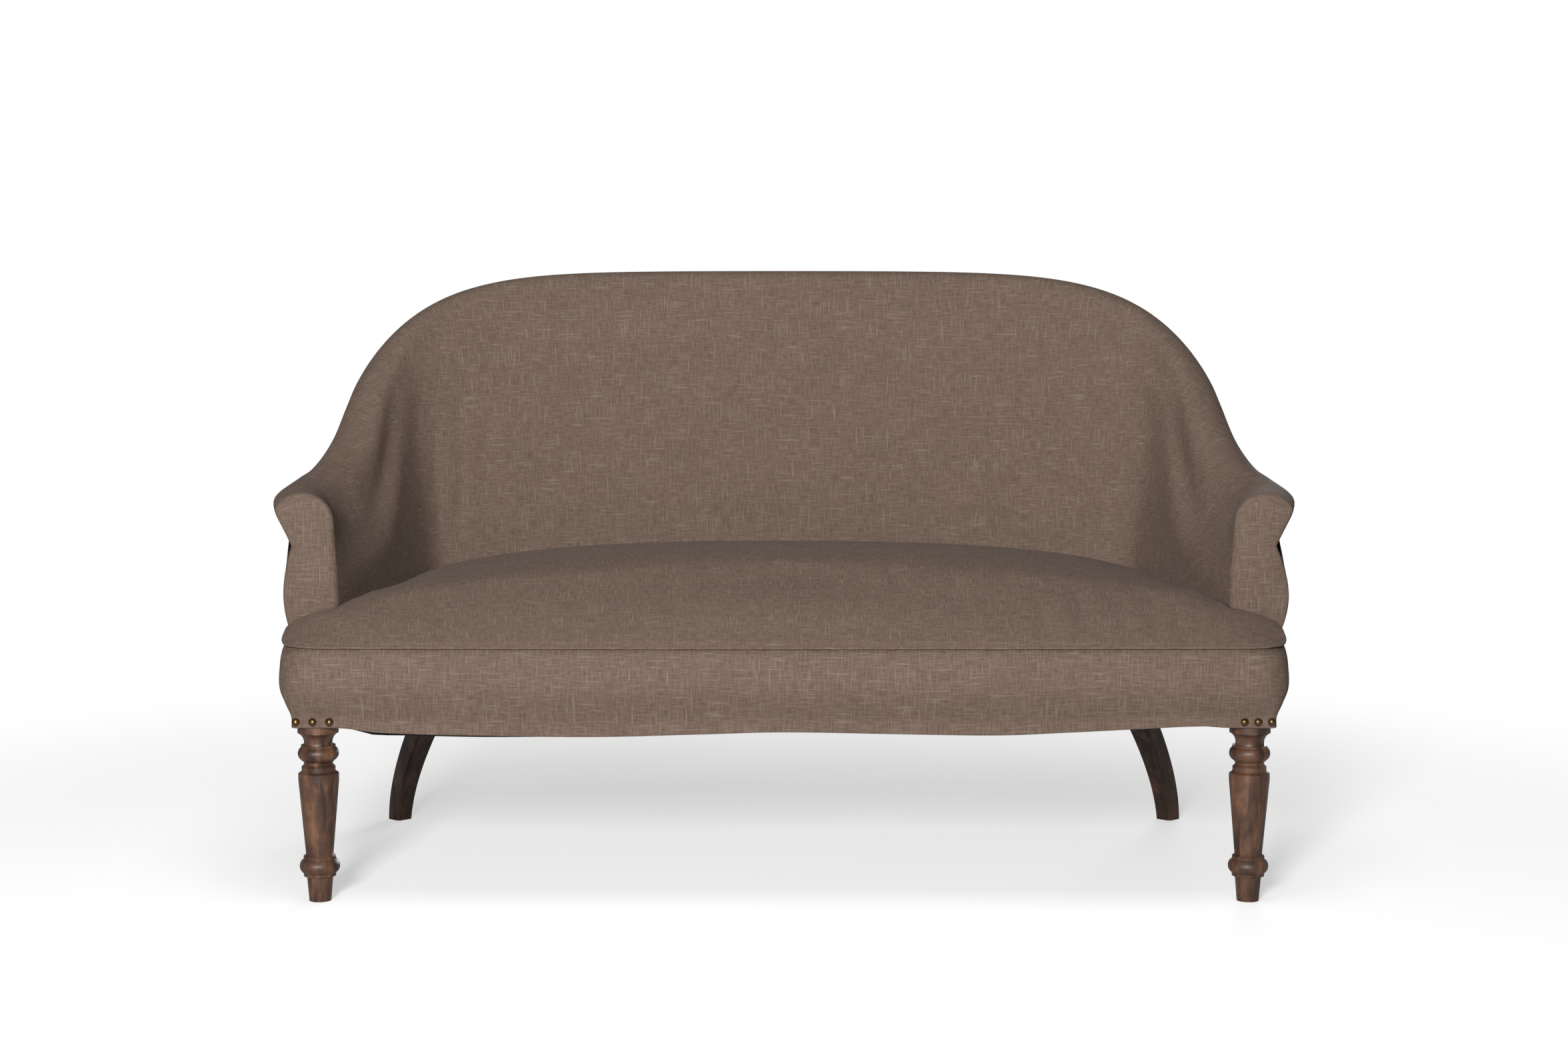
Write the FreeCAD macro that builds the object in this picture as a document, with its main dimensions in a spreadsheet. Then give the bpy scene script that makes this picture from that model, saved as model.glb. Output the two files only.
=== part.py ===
import FreeCAD, Part
import math
import os
from types import SimpleNamespace

import Sketcher

# A two-seat upholstered tub sofa: turned front legs, sabre back legs, one curved
# back that sweeps down into low rolled arms, and a tight sprung seat.
# X runs to the right, Y to the back and Z up, and left and right are as seen from
# the front. The origin lies on the floor under the middle of the sofa. Lengths are mm.

VEC = FreeCAD.Vector
doc = FreeCAD.newDocument("sofa")

DRIVING = (
    # plan of the tub
    ("tub_half_width", 685, "middle to the outside cover at rail height"),
    ("tub_depth", 553, "arm front to the outside back at rail height"),
    ("tub_power", 3.35, "squareness of the plan curve"),
    ("arm_front_y", -268, "front plane of the arms"),
    # height of the top line
    ("arm_height", 566, "top of the arm at its front"),
    ("back_height", 881, "top of the back in the middle"),
    ("sweep_middle", 0.38, "place of the steepest sweep, as a share of half the run"),
    ("sweep_length", 0.145, "how fast the arm sweeps up, as a share of half the run"),
    # outer face of the tub
    ("neck_drop", 74, "top line down to the neck under the roll"),
    ("arm_neck_out", 10, "neck outside the rail line at the arm"),
    ("back_lean", 86, "neck outside the rail line at the back"),
    ("lean_power", 1.2, "bend of the leaning outside face"),
    ("arm_belly", 12, "swell of the outside arm"),
    ("back_belly", 4, "swell of the outside back"),
    ("roll_tip_drop", 22, "top line down to the tip of the roll"),
    ("arm_roll_out", 25, "roll outside the neck at the arm"),
    ("back_roll_out", 14, "roll outside the neck at the back"),
    ("roll_top_in", 8, "highest point of the roll inside the neck"),
    ("shoulder_drop", 32, "top line down to the inner shoulder of the roll"),
    ("shoulder_in", 49, "inner shoulder inside the neck"),
    # inner face of the tub
    ("arm_inner", 53, "inside arm behind the rail line"),
    ("back_inner", 67, "inside back in front of the rail line"),
    ("inner_back_lean", 90, "lean of the inside back up to the neck"),
    ("inner_arm_lean", 3, "lean of the inside arm up to the neck"),
    ("inner_start_height", 400, "height where the inside face starts to lean"),
    # layers of the tub
    ("panel_thick", 6, "outside cover with its wadding"),
    ("frame_zone", 30, "thickness of posts and rails"),
    ("webbing_gap", 3, "room for the webbing behind the inside pad"),
    ("fit_gap", 0.3, "air between soft pieces"),
    # legs
    ("leg_front_y", -333, "centre of a front leg"),
    ("leg_height", 249, "floor to the underside of the seat frame"),
    ("leg_block", 58, "square head of a front leg"),
    ("block_round", 5, "rounded outer corner of the head"),
    ("foot_bottom_r", 15.3, "turned foot on the floor"),
    ("foot_top_r", 18.3, "turned foot under the ankle"),
    ("foot_tall", 35.5, "turned foot"),
    ("ankle_fillet_r", 22.5, "fillets on both sides of the ankle bead"),
    ("ankle_fillet_tall", 4, "each of those fillets"),
    ("ankle_bead_tall", 20, "ankle bead"),
    ("ankle_bead_curve", 11.7, "rounding of the ankle bead"),
    ("taper_start_r", 19.1, "thin end of the vase"),
    ("ankle_chamfer_tall", 3, "slope from the ankle to the vase"),
    ("taper_tall", 104.5, "tapered vase"),
    ("vase_r", 28.2, "thick end of the vase"),
    ("vase_band_tall", 9.5, "straight band on the vase"),
    ("vase_slope_tall", 3.1, "slope above the band"),
    ("ring_r", 23.5, "ring above the vase"),
    ("ring_tall", 6.3, "ring above the vase"),
    ("quirk_r", 20, "sunk quirk between ring and bead"),
    ("quirk_slope_tall", 3.7, "each slope of the quirk"),
    ("quirk_tall", 2.5, "floor of the quirk"),
    ("bead_edge_r", 24, "edges of the upper bead"),
    ("bead_tall", 17.6, "upper bead"),
    ("bead_curve", 10.85, "rounding of the upper bead"),
    ("bead_fillet_tall", 3, "fillet above the bead"),
    ("cove_start_r", 20.3, "narrow end of the cove"),
    ("cove_tall", 17.5, "cove under the collar"),
    ("cove_curve", 15, "hollow of the cove"),
    ("collar_r", 28.5, "collar under the square head"),
    ("foot_spread", 620, "middle to the centre of a back foot"),
    ("foot_back_y", 266, "centre of a back foot"),
    ("sabre_top_shift", 95.5, "back foot to the head of its leg, along X and along Y"),
    ("sabre_foot", 29, "side of the sabre leg at the floor"),
    ("sabre_head", 45, "side of the sabre leg at the rail"),
    ("sabre_edge", 4, "eased edges of the sabre leg"),
    ("sabre_bow", 1.6, "how late the sabre curve sets in"),
    # seat frame
    ("rail_tall", 80, "seat rails"),
    ("rail_lift", 3, "underside of the rails above the leg's square edge"),
    ("front_bow", 6, "bow of the front rail"),
    ("tenon_long", 25, "tenons of the seat rails"),
    ("tenon_thick", 12, "tenons of the seat rails"),
    ("tenon_tall", 50, "tenons of the seat rails"),
    ("brace_wide", 45, "middle brace from front to back"),
    ("brace_tall", 30, "middle brace from front to back"),
    ("brace_drop", 22, "brace under the top of the rails"),
    ("front_gusset", 95, "legs of the front corner blocks"),
    ("gusset_tall", 60, "corner blocks"),
    ("back_gusset_long", 150, "back corner blocks"),
    ("back_gusset_thick", 34, "back corner blocks"),
    # back frame
    ("arm_post_thick", 25, "scroll shaped arm posts"),
    ("post_clearance", 2, "curve of an arm post inside its covers"),
    ("arm_pad_thick", 7, "padded facing on the arm posts"),
    ("top_rail_tall", 35, "arm rails and crest rail"),
    ("top_rail_in", 2, "top rails inside the neck"),
    ("roll_pad", 30, "padding over the top rails"),
    ("back_post_wide", 48, "back posts"),
    ("slat_wide", 55, "upright slats in the back"),
    ("slat_thick", 14, "upright slats in the back"),
    ("slat_spread", 190, "middle to the centre of a slat"),
    ("tuck_rail_tall", 40, "lower rails that the inside covers are pulled round"),
    ("tuck_rail_height", 395, "underside of the lower rails"),
    # springing
    ("strap_wide", 50, "elastic webbing"),
    ("strap_thick", 1.6, "elastic webbing"),
    ("strap_overlap", 14, "webbing tacked on the rail"),
    ("first_cross_strap", 36, "front leg's centre to the first strap from side to side"),
    ("cross_pitch", 92, "between straps from side to side"),
    ("long_pitch", 110, "between straps from front to back"),
    ("back_pitch", 105, "between upright straps"),
    ("cross_straps", 5, "straps from side to side"),
    ("long_straps", 9, "straps from front to back"),
    ("back_straps", 7, "upright straps in the back"),
    ("hessian_thick", 1.2, "hessian over the webbing"),
    # seat upholstery
    ("seam_height", 361, "seam round the front of the seat"),
    ("seam_out", 11, "seam outside the seat frame"),
    ("seam_corner", 55, "corner of the seam in plan"),
    ("seat_crown", 104, "rise of the seat above the seam"),
    ("crown_y", -50, "line of the highest crown"),
    ("crown_back_fall", 26, "fall of the crown to the inside back"),
    ("seat_cover_thick", 3, "linen with wadding on the seat"),
    ("border_swell", 6, "swell of the front border beyond the seam"),
    ("swell_height", 302, "height of that swell"),
    ("hem_thick", 3.7, "cover over the leg's head"),
    ("hem_corner", 9, "corner of the cover over the leg's head"),
    # small pieces
    ("cambric_thick", 1, "black cambric under the seat"),
    ("nail_head_r", 5.75, "antique nails"),
    ("nail_head_tall", 3.4, "antique nails"),
    ("nail_shank_r", 1.1, "antique nails"),
    ("nail_shank_long", 14, "antique nails"),
    ("nail_height", 257, "row of nails above the floor"),
    ("nail_first_left", -25.3, "outer nail from the left leg's centre"),
    ("nail_pitch_left", 23.3, "between nails on the left leg"),
    ("nail_first_right", 25.0, "outer nail from the right leg's centre"),
    ("nail_pitch_right", 19.0, "between nails on the right leg"),
    ("bolt_r", 4, "leg bolts"),
    ("bolt_long", 62, "leg bolts"),
    ("bolt_head_r", 7.5, "leg bolts, over the corners"),
    ("bolt_head_tall", 5.3, "leg bolts"),
    ("bolt_gap", 0.1, "play of a bolt or a nail in its hole"),
    ("bolt_room", 2, "room beyond the end of a bolt"),
    ("bolt_spacing", 34, "upper to lower bolt"),
)


class Size:
    """A length that carries both its value and the expression behind it."""

    def __init__(self, value, text):
        self.value = float(value)
        self.text = text

    def __float__(self):
        return self.value

    def joined(self, sign, other, swapped=False):
        other = other if isinstance(other, Size) else Size(other, f"({other:g})")
        first, last = (other, self) if swapped else (self, other)
        a, b = first.value, last.value
        value = {"+": a + b, "-": a - b, "*": a * b}[sign] if sign != "/" else a / b
        return Size(value, f"({first.text} {sign} {last.text})")

    def __add__(self, other):
        return self.joined("+", other)

    def __radd__(self, other):
        return self.joined("+", other, True)

    def __sub__(self, other):
        return self.joined("-", other)

    def __rsub__(self, other):
        return self.joined("-", other, True)

    def __mul__(self, other):
        return self.joined("*", other)

    def __rmul__(self, other):
        return self.joined("*", other, True)

    def __truediv__(self, other):
        return self.joined("/", other)

    def __neg__(self):
        return self.joined("*", -1)


def fill_sheet():
    """Write the driving sizes to the sheet, and give them back by name."""
    sheet = doc.addObject("Spreadsheet::Sheet", "Sizes")
    named = {}
    for row, (alias, value, meaning) in enumerate(DRIVING, start=1):
        sheet.set(f"A{row}", meaning)
        sheet.set(f"B{row}", str(value))
        sheet.setAlias(f"B{row}", alias)
        named[alias] = Size(value, f"Sizes.{alias}")
    doc.recompute()
    return SimpleNamespace(**named)


d = fill_sheet()
n = SimpleNamespace(**{name: float(size) for name, size in vars(d).items()})
ZERO = Size(0, "0")
parts = {}

rail_bottom = d.leg_height + d.rail_lift
rail_top = rail_bottom + d.rail_tall
block_tall = rail_top - d.leg_height
tenon_bottom = rail_bottom + (d.rail_tall - d.tenon_tall) / 2
frame_half = d.tub_half_width - d.panel_thick
half_block = d.leg_block / 2
leg_spread = frame_half - half_block
block_front_y = d.leg_front_y - half_block
block_back_y = d.leg_front_y + half_block
post_front_y = d.arm_front_y + d.arm_pad_thick
post_back_y = post_front_y + d.arm_post_thick


# Helpers for bodies with sketches


def bind(thing, **sizes):
    """Tie properties to the sheet; two underscores stand for a dot."""
    for path, size in sizes.items():
        thing.setExpression(path.replace("__", "."), size.text)


def new_body(label, x=ZERO, y=ZERO, z=ZERO, turn=0):
    """A body with a label and a placement tied to the sheet."""
    body = doc.addObject("PartDesign::Body", label)
    body.Label = label
    body.Placement = FreeCAD.Placement(VEC(0, 0, 0), FreeCAD.Rotation(VEC(0, 0, 1), turn))
    body.setExpression(".Placement.Base.x", x.text)
    body.setExpression(".Placement.Base.y", y.text)
    body.setExpression(".Placement.Base.z", z.text)
    parts[label] = body
    return body


def origin_plane(body, role):
    return next(f for f in body.Origin.OriginFeatures if f.Role == role)


def new_sketch(body, name, plane="XY_Plane", lift=ZERO):
    """A sketch on one of the body's own origin planes, moved along its normal."""
    sketch = body.newObject("Sketcher::SketchObject", name)
    sketch.AttachmentSupport = [(origin_plane(body, plane), "")]
    sketch.MapMode = "FlatFace"
    sketch.setExpression(".AttachmentOffset.Base.z", lift.text)
    return sketch


def outline(sketch, corners):
    """Draw a closed outline: each entry is x, y and, for an arc that leads to it, a radius.

    A positive radius turns to the left on the way round, a negative one to the right.
    """
    corners = [(*c, None) if len(c) == 2 else c for c in corners]
    starts = []
    for i, (x1, y1, _) in enumerate(corners):
        x2, y2, radius = corners[(i + 1) % len(corners)]
        a = VEC(float(x1), float(y1), 0)
        b = VEC(float(x2), float(y2), 0)
        if radius is None:
            starts.append((sketch.addGeometry(Part.LineSegment(a, b), False), 1, 2))
            continue
        r = float(radius)
        chord = b - a
        left = VEC(-chord.y, chord.x, 0).normalize()
        depth = math.sqrt(r * r - chord.Length**2 / 4)
        centre = (a + b) * 0.5 + left * (depth if r > 0 else -depth)
        ends = [(a - centre), (b - centre)]
        if r < 0:
            ends.reverse()
        low, high = (math.atan2(e.y, e.x) for e in ends)
        arc = Part.ArcOfCircle(Part.Circle(centre, VEC(0, 0, 1), abs(r)), low, high)
        geo = sketch.addGeometry(arc, False)
        spot = sketch.addConstraint(Sketcher.Constraint("Radius", geo, abs(r)))
        text = radius.text if r > 0 else (-radius).text
        sketch.setExpression(f"Constraints[{spot}]", text)
        starts.append((geo, 1, 2) if r > 0 else (geo, 2, 1))
    for i, (geo, _, end) in enumerate(starts):
        following, start, _ = starts[(i + 1) % len(starts)]
        sketch.addConstraint(Sketcher.Constraint("Coincident", geo, end, following, start))
    for (geo, start, _), (x, y, _) in zip(starts, corners):
        for kind, size in (("DistanceX", x), ("DistanceY", y)):
            spot = sketch.addConstraint(Sketcher.Constraint(kind, -1, 1, geo, start, float(size)))
            sketch.setExpression(f"Constraints[{spot}]", size.text)


def rectangle(sketch, x0, y0, x1, y1):
    outline(sketch, [(x0, y0), (x1, y0), (x1, y1), (x0, y1)])


def pad(body, sketch, length):
    feature = body.newObject("PartDesign::Pad", sketch.Name + "_pad")
    feature.Profile = sketch
    bind(feature, Length=length)
    return feature


def block(body, name, kind, corner, sides):
    """An additive or subtractive box at a corner, all tied to the sheet."""
    box = body.newObject(f"PartDesign::{kind}Box", name)
    box.AttachmentSupport = [(origin_plane(body, "XY_Plane"), "")]
    box.MapMode = "FlatFace"
    for axis, size in zip("xyz", corner):
        box.setExpression(f".AttachmentOffset.Base.{axis}", size.text)
    bind(box, Length=sides[0], Width=sides[1], Height=sides[2])
    return box


def bore(body, name, corner, direction, radius, depth):
    """A round hole from a point inwards; it must take material away."""
    doc.recompute()
    before = body.Shape.Volume
    hole = body.newObject("PartDesign::SubtractiveCylinder", name)
    hole.AttachmentSupport = [(origin_plane(body, "XY_Plane"), "")]
    hole.MapMode = "FlatFace"
    turn = FreeCAD.Rotation(VEC(0, 0, 1), direction)
    hole.AttachmentOffset = FreeCAD.Placement(VEC(0, 0, 0), turn)
    for axis, size in zip("xyz", corner):
        hole.setExpression(f".AttachmentOffset.Base.{axis}", size.text)
    bind(hole, Radius=radius, Height=depth)
    doc.recompute()
    if body.Shape.Volume >= before:
        raise RuntimeError(f"{name} cuts nothing")


def part_feature(label, shape):
    """A formula-made shape as an object of its own."""
    if shape.Volume < 0:
        shape.reverse()
    feature = doc.addObject("Part::Feature", label)
    feature.Label = label
    feature.Shape = shape
    feature.Placement = FreeCAD.Placement()
    parts[label] = feature
    return feature


SIDES = (("left", -1), ("right", 1))


# Front legs: turned below, square above, with mortises for the rails


def turned_profile():
    """Half of the turned shape, from the floor up; arcs lead to their point."""
    z = ZERO
    rows = [(ZERO, ZERO), (d.foot_bottom_r, ZERO)]

    def up(tall, radius, *curve):
        nonlocal z
        z = z + tall
        rows.append((radius, z, *curve))

    def step(radius):
        rows.append((radius, z))

    up(d.foot_tall, d.foot_top_r)
    step(d.ankle_fillet_r)
    up(d.ankle_fillet_tall, d.ankle_fillet_r)
    up(d.ankle_bead_tall, d.ankle_fillet_r, d.ankle_bead_curve)
    up(d.ankle_fillet_tall, d.ankle_fillet_r)
    up(d.ankle_chamfer_tall, d.taper_start_r)
    up(d.taper_tall, d.vase_r)
    up(d.vase_band_tall, d.vase_r)
    up(d.vase_slope_tall, d.ring_r)
    up(d.ring_tall, d.ring_r)
    up(d.quirk_slope_tall, d.quirk_r)
    up(d.quirk_tall, d.quirk_r)
    up(d.quirk_slope_tall, d.bead_edge_r)
    up(d.bead_tall, d.bead_edge_r, d.bead_curve)
    up(d.bead_fillet_tall, d.bead_edge_r)
    step(d.cove_start_r)
    up(d.cove_tall, d.collar_r, -d.cove_curve)
    rows.append((d.collar_r, d.leg_height))
    rows.append((ZERO, d.leg_height))
    return rows


def nail_places(side):
    """Distances of the three nails from a front leg's centre along X."""
    if side < 0:
        return [d.nail_first_left + d.nail_pitch_left * k for k in range(3)]
    return [d.nail_first_right - d.nail_pitch_right * k for k in range(3)]


def front_leg(name, side):
    body = new_body(f"front_leg_{name}", leg_spread * side, d.leg_front_y)
    profile = new_sketch(body, f"turning_{name}", "XZ_Plane")
    outline(profile, turned_profile())
    turning = body.newObject("PartDesign::Revolution", f"turned_{name}")
    turning.Profile = profile
    turning.ReferenceAxis = (profile, ["V_Axis"])
    turning.Angle = 360
    half, soft = half_block, d.block_round
    head = new_sketch(body, f"head_{name}", "XY_Plane", d.leg_height)
    if side > 0:
        front = [(-half, -half), (half - soft, -half), (half, soft - half, soft)]
    else:
        front = [(-half, soft - half), (soft - half, -half, soft), (half, -half)]
    outline(head, front + [(half, half), (-half, half)])
    pad(body, head, block_tall)
    block(
        body,
        f"front_mortise_{name}",
        "Subtractive",
        (
            half - d.tenon_long if side < 0 else -half,
            (d.frame_zone - d.tenon_thick) / 2 - half,
            tenon_bottom,
        ),
        (d.tenon_long, d.tenon_thick, d.tenon_tall),
    )
    side_middle = (half - d.frame_zone / 2) * side
    block(
        body,
        f"side_mortise_{name}",
        "Subtractive",
        (side_middle - d.tenon_thick / 2, half - d.tenon_long, tenon_bottom),
        (d.tenon_thick, d.tenon_long, d.tenon_tall),
    )
    pilot = d.nail_shank_r + d.bolt_gap
    for k, place in enumerate(nail_places(side)):
        start = (place, -half, d.nail_height)
        bore(body, f"nail_pilot_{name}_{k}", start, VEC(0, 1, 0), pilot, d.nail_shank_long)
    start = (-half * side, half, rail_bottom + d.rail_tall / 2)
    inwards = VEC(side, -1, 0)
    outside = (d.front_gusset / 2 + d.frame_zone - d.leg_block) * math.sqrt(2)
    depth = d.bolt_long - outside + d.bolt_room
    bore(body, f"bolt_hole_{name}", start, inwards, d.bolt_r + d.bolt_gap, depth)


# Back legs: sabre shaped, splayed to the corners, with a square head in the seat frame


def eased_square(sketch, side, shift, edge):
    """A square with bevelled corners, centred at a shift along X."""
    half = side / 2
    left, right = shift - half, shift + half
    outline(
        sketch,
        [
            (left, edge - half),
            (left + edge, -half),
            (right - edge, -half),
            (right, edge - half),
            (right, half - edge),
            (right - edge, half),
            (left + edge, half),
            (left, half - edge),
        ],
    )


def diagonal_turn(side):
    """Turn about Z that lays the local X axis from a back foot to the seat's middle."""
    return 225 if side > 0 else -45


def bolt_heights():
    middle = rail_bottom + d.rail_tall / 2
    return [middle - d.bolt_spacing / 2, middle + d.bolt_spacing / 2]


head_shift = d.sabre_top_shift * math.sqrt(2)
half_head = d.sabre_head / 2


def back_leg(name, side, levels=5):
    turn = diagonal_turn(side)
    body = new_body(f"back_leg_{name}", d.foot_spread * side, d.foot_back_y, ZERO, turn)
    sections = []
    for k in range(levels + 1):
        share = k / levels
        sketch = new_sketch(body, f"sabre_{name}_{k}", "XY_Plane", d.leg_height * share)
        width = d.sabre_foot + (d.sabre_head - d.sabre_foot) * share
        eased_square(sketch, width, head_shift * share**n.sabre_bow, d.sabre_edge)
        sections.append(sketch)
    curve = body.newObject("PartDesign::AdditiveLoft", f"sabre_loft_{name}")
    curve.Profile = sections[0]
    curve.Sections = sections[1:]
    head = new_sketch(body, f"sabre_head_{name}", "XY_Plane", d.leg_height)
    rectangle(head, head_shift - half_head, -half_head, head_shift + half_head, half_head)
    pad(body, head, block_tall)
    for k, height in enumerate(bolt_heights()):
        start = (head_shift + half_head, ZERO, height)
        depth = d.bolt_long - d.back_gusset_thick + d.bolt_room
        bore(body, f"bolt_hole_{name}_{k}", start, VEC(-1, 0, 0), d.bolt_r + d.bolt_gap, depth)


# The tub line: a superellipse from arm to arm, measured by the run along it


def plan_table(steps=720):
    """Points of the right half of the plan curve with the run from the arm front."""
    table = []
    run = 0.0
    last = None
    for k in range(steps + 1):
        angle = math.pi / 2 * k / steps
        c, s = math.cos(angle), math.sin(angle)
        power = n.tub_power
        reach = (abs(c / n.tub_half_width) ** power + abs(s / n.tub_depth) ** power) ** (-1 / power)
        x, y = reach * c, reach * s
        if last:
            run += math.hypot(x - last[0], y - last[1])
        last = (x, y)
        table.append((run, x, y))
    return table


PLAN = plan_table()
HALF_RUN = PLAN[-1][0]


def tub_line(place):
    """Point and outward direction; place is -1 at the left arm, 0 at the back, 1 at the right arm.

    Places beyond the arm fronts lie on the straight line forward.
    """
    side = 1 if place >= 0 else -1
    run = (1 - abs(place)) * HALF_RUN
    if run <= 0:
        return VEC(side * n.tub_half_width, n.arm_front_y + run, 0), VEC(side, 0, 0)
    k = next((k for k in range(1, len(PLAN)) if PLAN[k][0] >= run), len(PLAN) - 1)
    r0, x0, y0 = PLAN[k - 1]
    r1, x1, y1 = PLAN[k]
    f = (run - r0) / (r1 - r0)
    x, y = x0 + (x1 - x0) * f, y0 + (y1 - y0) * f
    gx = (abs(x) / n.tub_half_width) ** (n.tub_power - 1) / n.tub_half_width
    gy = (abs(y) / n.tub_depth) ** (n.tub_power - 1) / n.tub_depth
    size = math.hypot(gx, gy)
    return VEC(side * x, n.arm_front_y + y, 0), VEC(side * gx / size, gy / size, 0)


def place_of_run(run, side):
    """The place that lies a run behind the arm front."""
    return side * (1 - run / HALF_RUN)


def rise(place):
    """Share of the sweep from arm height to back height."""
    share = max(0.0, 1 - abs(place))
    start = math.tanh(-n.sweep_middle / n.sweep_length)
    end = math.tanh((1 - n.sweep_middle) / n.sweep_length)
    return (math.tanh((share - n.sweep_middle) / n.sweep_length) - start) / (end - start)


def blend(place, at_arm, at_back):
    return at_arm + (at_back - at_arm) * rise(place)


def top_height(place):
    return blend(place, n.arm_height, n.back_height)


def neck_height(place):
    return top_height(place) - n.neck_drop


def neck_out(place):
    return blend(place, n.arm_neck_out, n.back_lean)


def outer_out(place, z):
    """Outside cover from the rail line, outwards."""
    base = float(rail_top)
    share = (z - base) / (neck_height(place) - base)
    if share <= 0:
        return 0.0
    belly = blend(place, n.arm_belly, n.back_belly)
    return neck_out(place) * share**n.lean_power + belly * math.sin(math.pi * min(share, 1))


def inner_out(place, z):
    """Inside cover from the rail line, outwards, so it is negative low down."""
    base = n.inner_start_height
    share = max(0.0, (z - base) / (neck_height(place) - base))
    lean = blend(place, n.inner_arm_lean, n.inner_back_lean)
    return lean * share**n.lean_power - blend(place, n.arm_inner, n.back_inner)


def frame_out(place, z):
    """Outer face of the frame."""
    return outer_out(place, z) - n.panel_thick


def pad_back(place, z):
    """Rear face of the inside pad."""
    return frame_out(place, z) - n.frame_zone - n.webbing_gap


def spot(place, out, z):
    point, normal = tub_line(place)
    return VEC(point.x + normal.x * out, point.y + normal.y * out, z)


def spaced(first, last, count):
    return [first + (last - first) * k / (count - 1) for k in range(count)]


def smooth(points):
    curve = Part.BSplineCurve()
    curve.interpolate(points)
    return curve.toShape()


def chain(points):
    return [Part.LineSegment(a, b).toShape() for a, b in zip(points, points[1:])]


def loft(wires):
    return Part.makeLoft(wires, True, False)


def tub_section(place, corners):
    """A closed wire across the tub; its corners are given as (outwards, height)."""
    spots = [spot(place, out, z) for out, z in corners]
    return Part.makePolygon(spots + spots[:1])


def lofted_bar(places, low, high, inner, outer):
    """A bar along the tub line; the four edges are functions of the place."""
    wires = []
    for p in places:
        z0, z1 = low(p), high(p)
        corners = [(inner(p, z0), z0), (outer(p, z0), z0), (outer(p, z1), z1), (inner(p, z1), z1)]
        wires.append(tub_section(p, corners))
    return loft(wires)


# Seat frame: bowed front rail, bent side and back rails, brace and corner blocks


def bow_radius(half, bow):
    """Radius of an arc that bows out by a known depth over a known half length."""
    return (half * half + bow * bow) / (bow * 2)


def front_rail():
    body = new_body("front_rail", ZERO, block_front_y, rail_bottom)
    inside = leg_spread - half_block
    radius = bow_radius(inside, d.front_bow)
    sketch = new_sketch(body, "front_rail_plan")
    back = d.frame_zone
    outline(
        sketch,
        [(-inside, ZERO), (inside, ZERO, radius), (inside, back), (-inside, back, -radius)],
    )
    pad(body, sketch, d.rail_tall)
    for name, side in SIDES:
        start = inside if side > 0 else -inside - d.tenon_long
        block(
            body,
            f"front_tenon_{name}",
            "Additive",
            (start, (d.frame_zone - d.tenon_thick) / 2, (d.rail_tall - d.tenon_tall) / 2),
            (d.tenon_long, d.tenon_thick, d.tenon_tall),
        )


def middle_brace():
    """Straight brace from the front rail to the back rail."""
    brace = doc.addObject("Part::Box", "middle_brace")
    brace.Label = "middle_brace"
    back_of_front = block_front_y - d.front_bow + d.frame_zone
    front_of_back = d.arm_front_y + d.tub_depth - d.panel_thick - d.frame_zone
    brace.setExpression(".Placement.Base.x", (-(d.brace_wide / 2)).text)
    brace.setExpression(".Placement.Base.y", back_of_front.text)
    brace.setExpression(".Placement.Base.z", (rail_top - d.brace_drop - d.brace_tall).text)
    bind(brace, Length=d.brace_wide, Width=front_of_back - back_of_front, Height=d.brace_tall)
    parts["middle_brace"] = brace


def leg_head_place():
    """Place on the tub line that is nearest to the head of a back leg."""
    centre = VEC(n.foot_spread - n.sabre_top_shift, n.foot_back_y - n.sabre_top_shift, 0)
    return min(spaced(0.2, 0.9, 701), key=lambda place: (tub_line(place)[0] - centre).Length)


LEG_PLACE = leg_head_place()


def box_at(x0, y0, z0, x1, y1, z1):
    return Part.makeBox(x1 - x0, y1 - y0, z1 - z0, VEC(x0, y0, z0))


def leg_frame(side):
    """Placement of a back leg: local X runs from the foot to the seat's middle."""
    turn = FreeCAD.Rotation(VEC(0, 0, 1), diagonal_turn(side))
    return FreeCAD.Placement(VEC(n.foot_spread * side, n.foot_back_y, 0), turn)


def head_prism(side, grow=0.0):
    """The square head of a back leg as a cutter, from the floor up through the rails."""
    half = float(half_head) + grow
    middle = float(head_shift)
    top = float(rail_top)
    prism = box_at(middle - half, -half, 0, middle + half, half, top)
    prism.Placement = leg_frame(side)
    return prism


def largest(shape):
    """The main solid of a cut."""
    return max(shape.Solids, key=lambda solid: abs(solid.Volume))


def seat_rail(first, last, count):
    """A rail along the tub line between two places, before it is housed round the legs."""
    low, high = float(rail_bottom), float(rail_top)
    return lofted_bar(
        spaced(first, last, count),
        lambda p: low,
        lambda p: high,
        lambda p, z: -n.panel_thick - n.frame_zone,
        lambda p, z: -n.panel_thick,
    )


def side_rail(name, side):
    start = place_of_run(float(block_back_y) - n.arm_front_y, side)
    rail = seat_rail(start, LEG_PLACE * side, 9).cut(head_prism(side))
    middle = (float(frame_half) - n.frame_zone / 2) * side
    back = float(block_back_y)
    half_thick = n.tenon_thick / 2
    bottom = float(tenon_bottom)
    tenon = box_at(
        middle - half_thick,
        back - n.tenon_long,
        bottom,
        middle + half_thick,
        back,
        bottom + n.tenon_tall,
    )
    part_feature(f"side_rail_{name}", largest(rail).fuse(tenon).removeSplitter())


def back_rail():
    rail = seat_rail(-LEG_PLACE, LEG_PLACE, 13)
    for _, side in SIDES:
        rail = rail.cut(head_prism(side))
    part_feature("back_rail", largest(rail))


def corner_bolt_line(side):
    """Start on the block's long face and direction of a front corner bolt."""
    half = n.front_gusset / 2
    x = (float(frame_half) - n.frame_zone - half) * side
    y = float(block_front_y) + n.frame_zone + half
    return VEC(x, y, float(rail_bottom) + n.rail_tall / 2), VEC(side, -1, 0).normalize()


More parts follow.
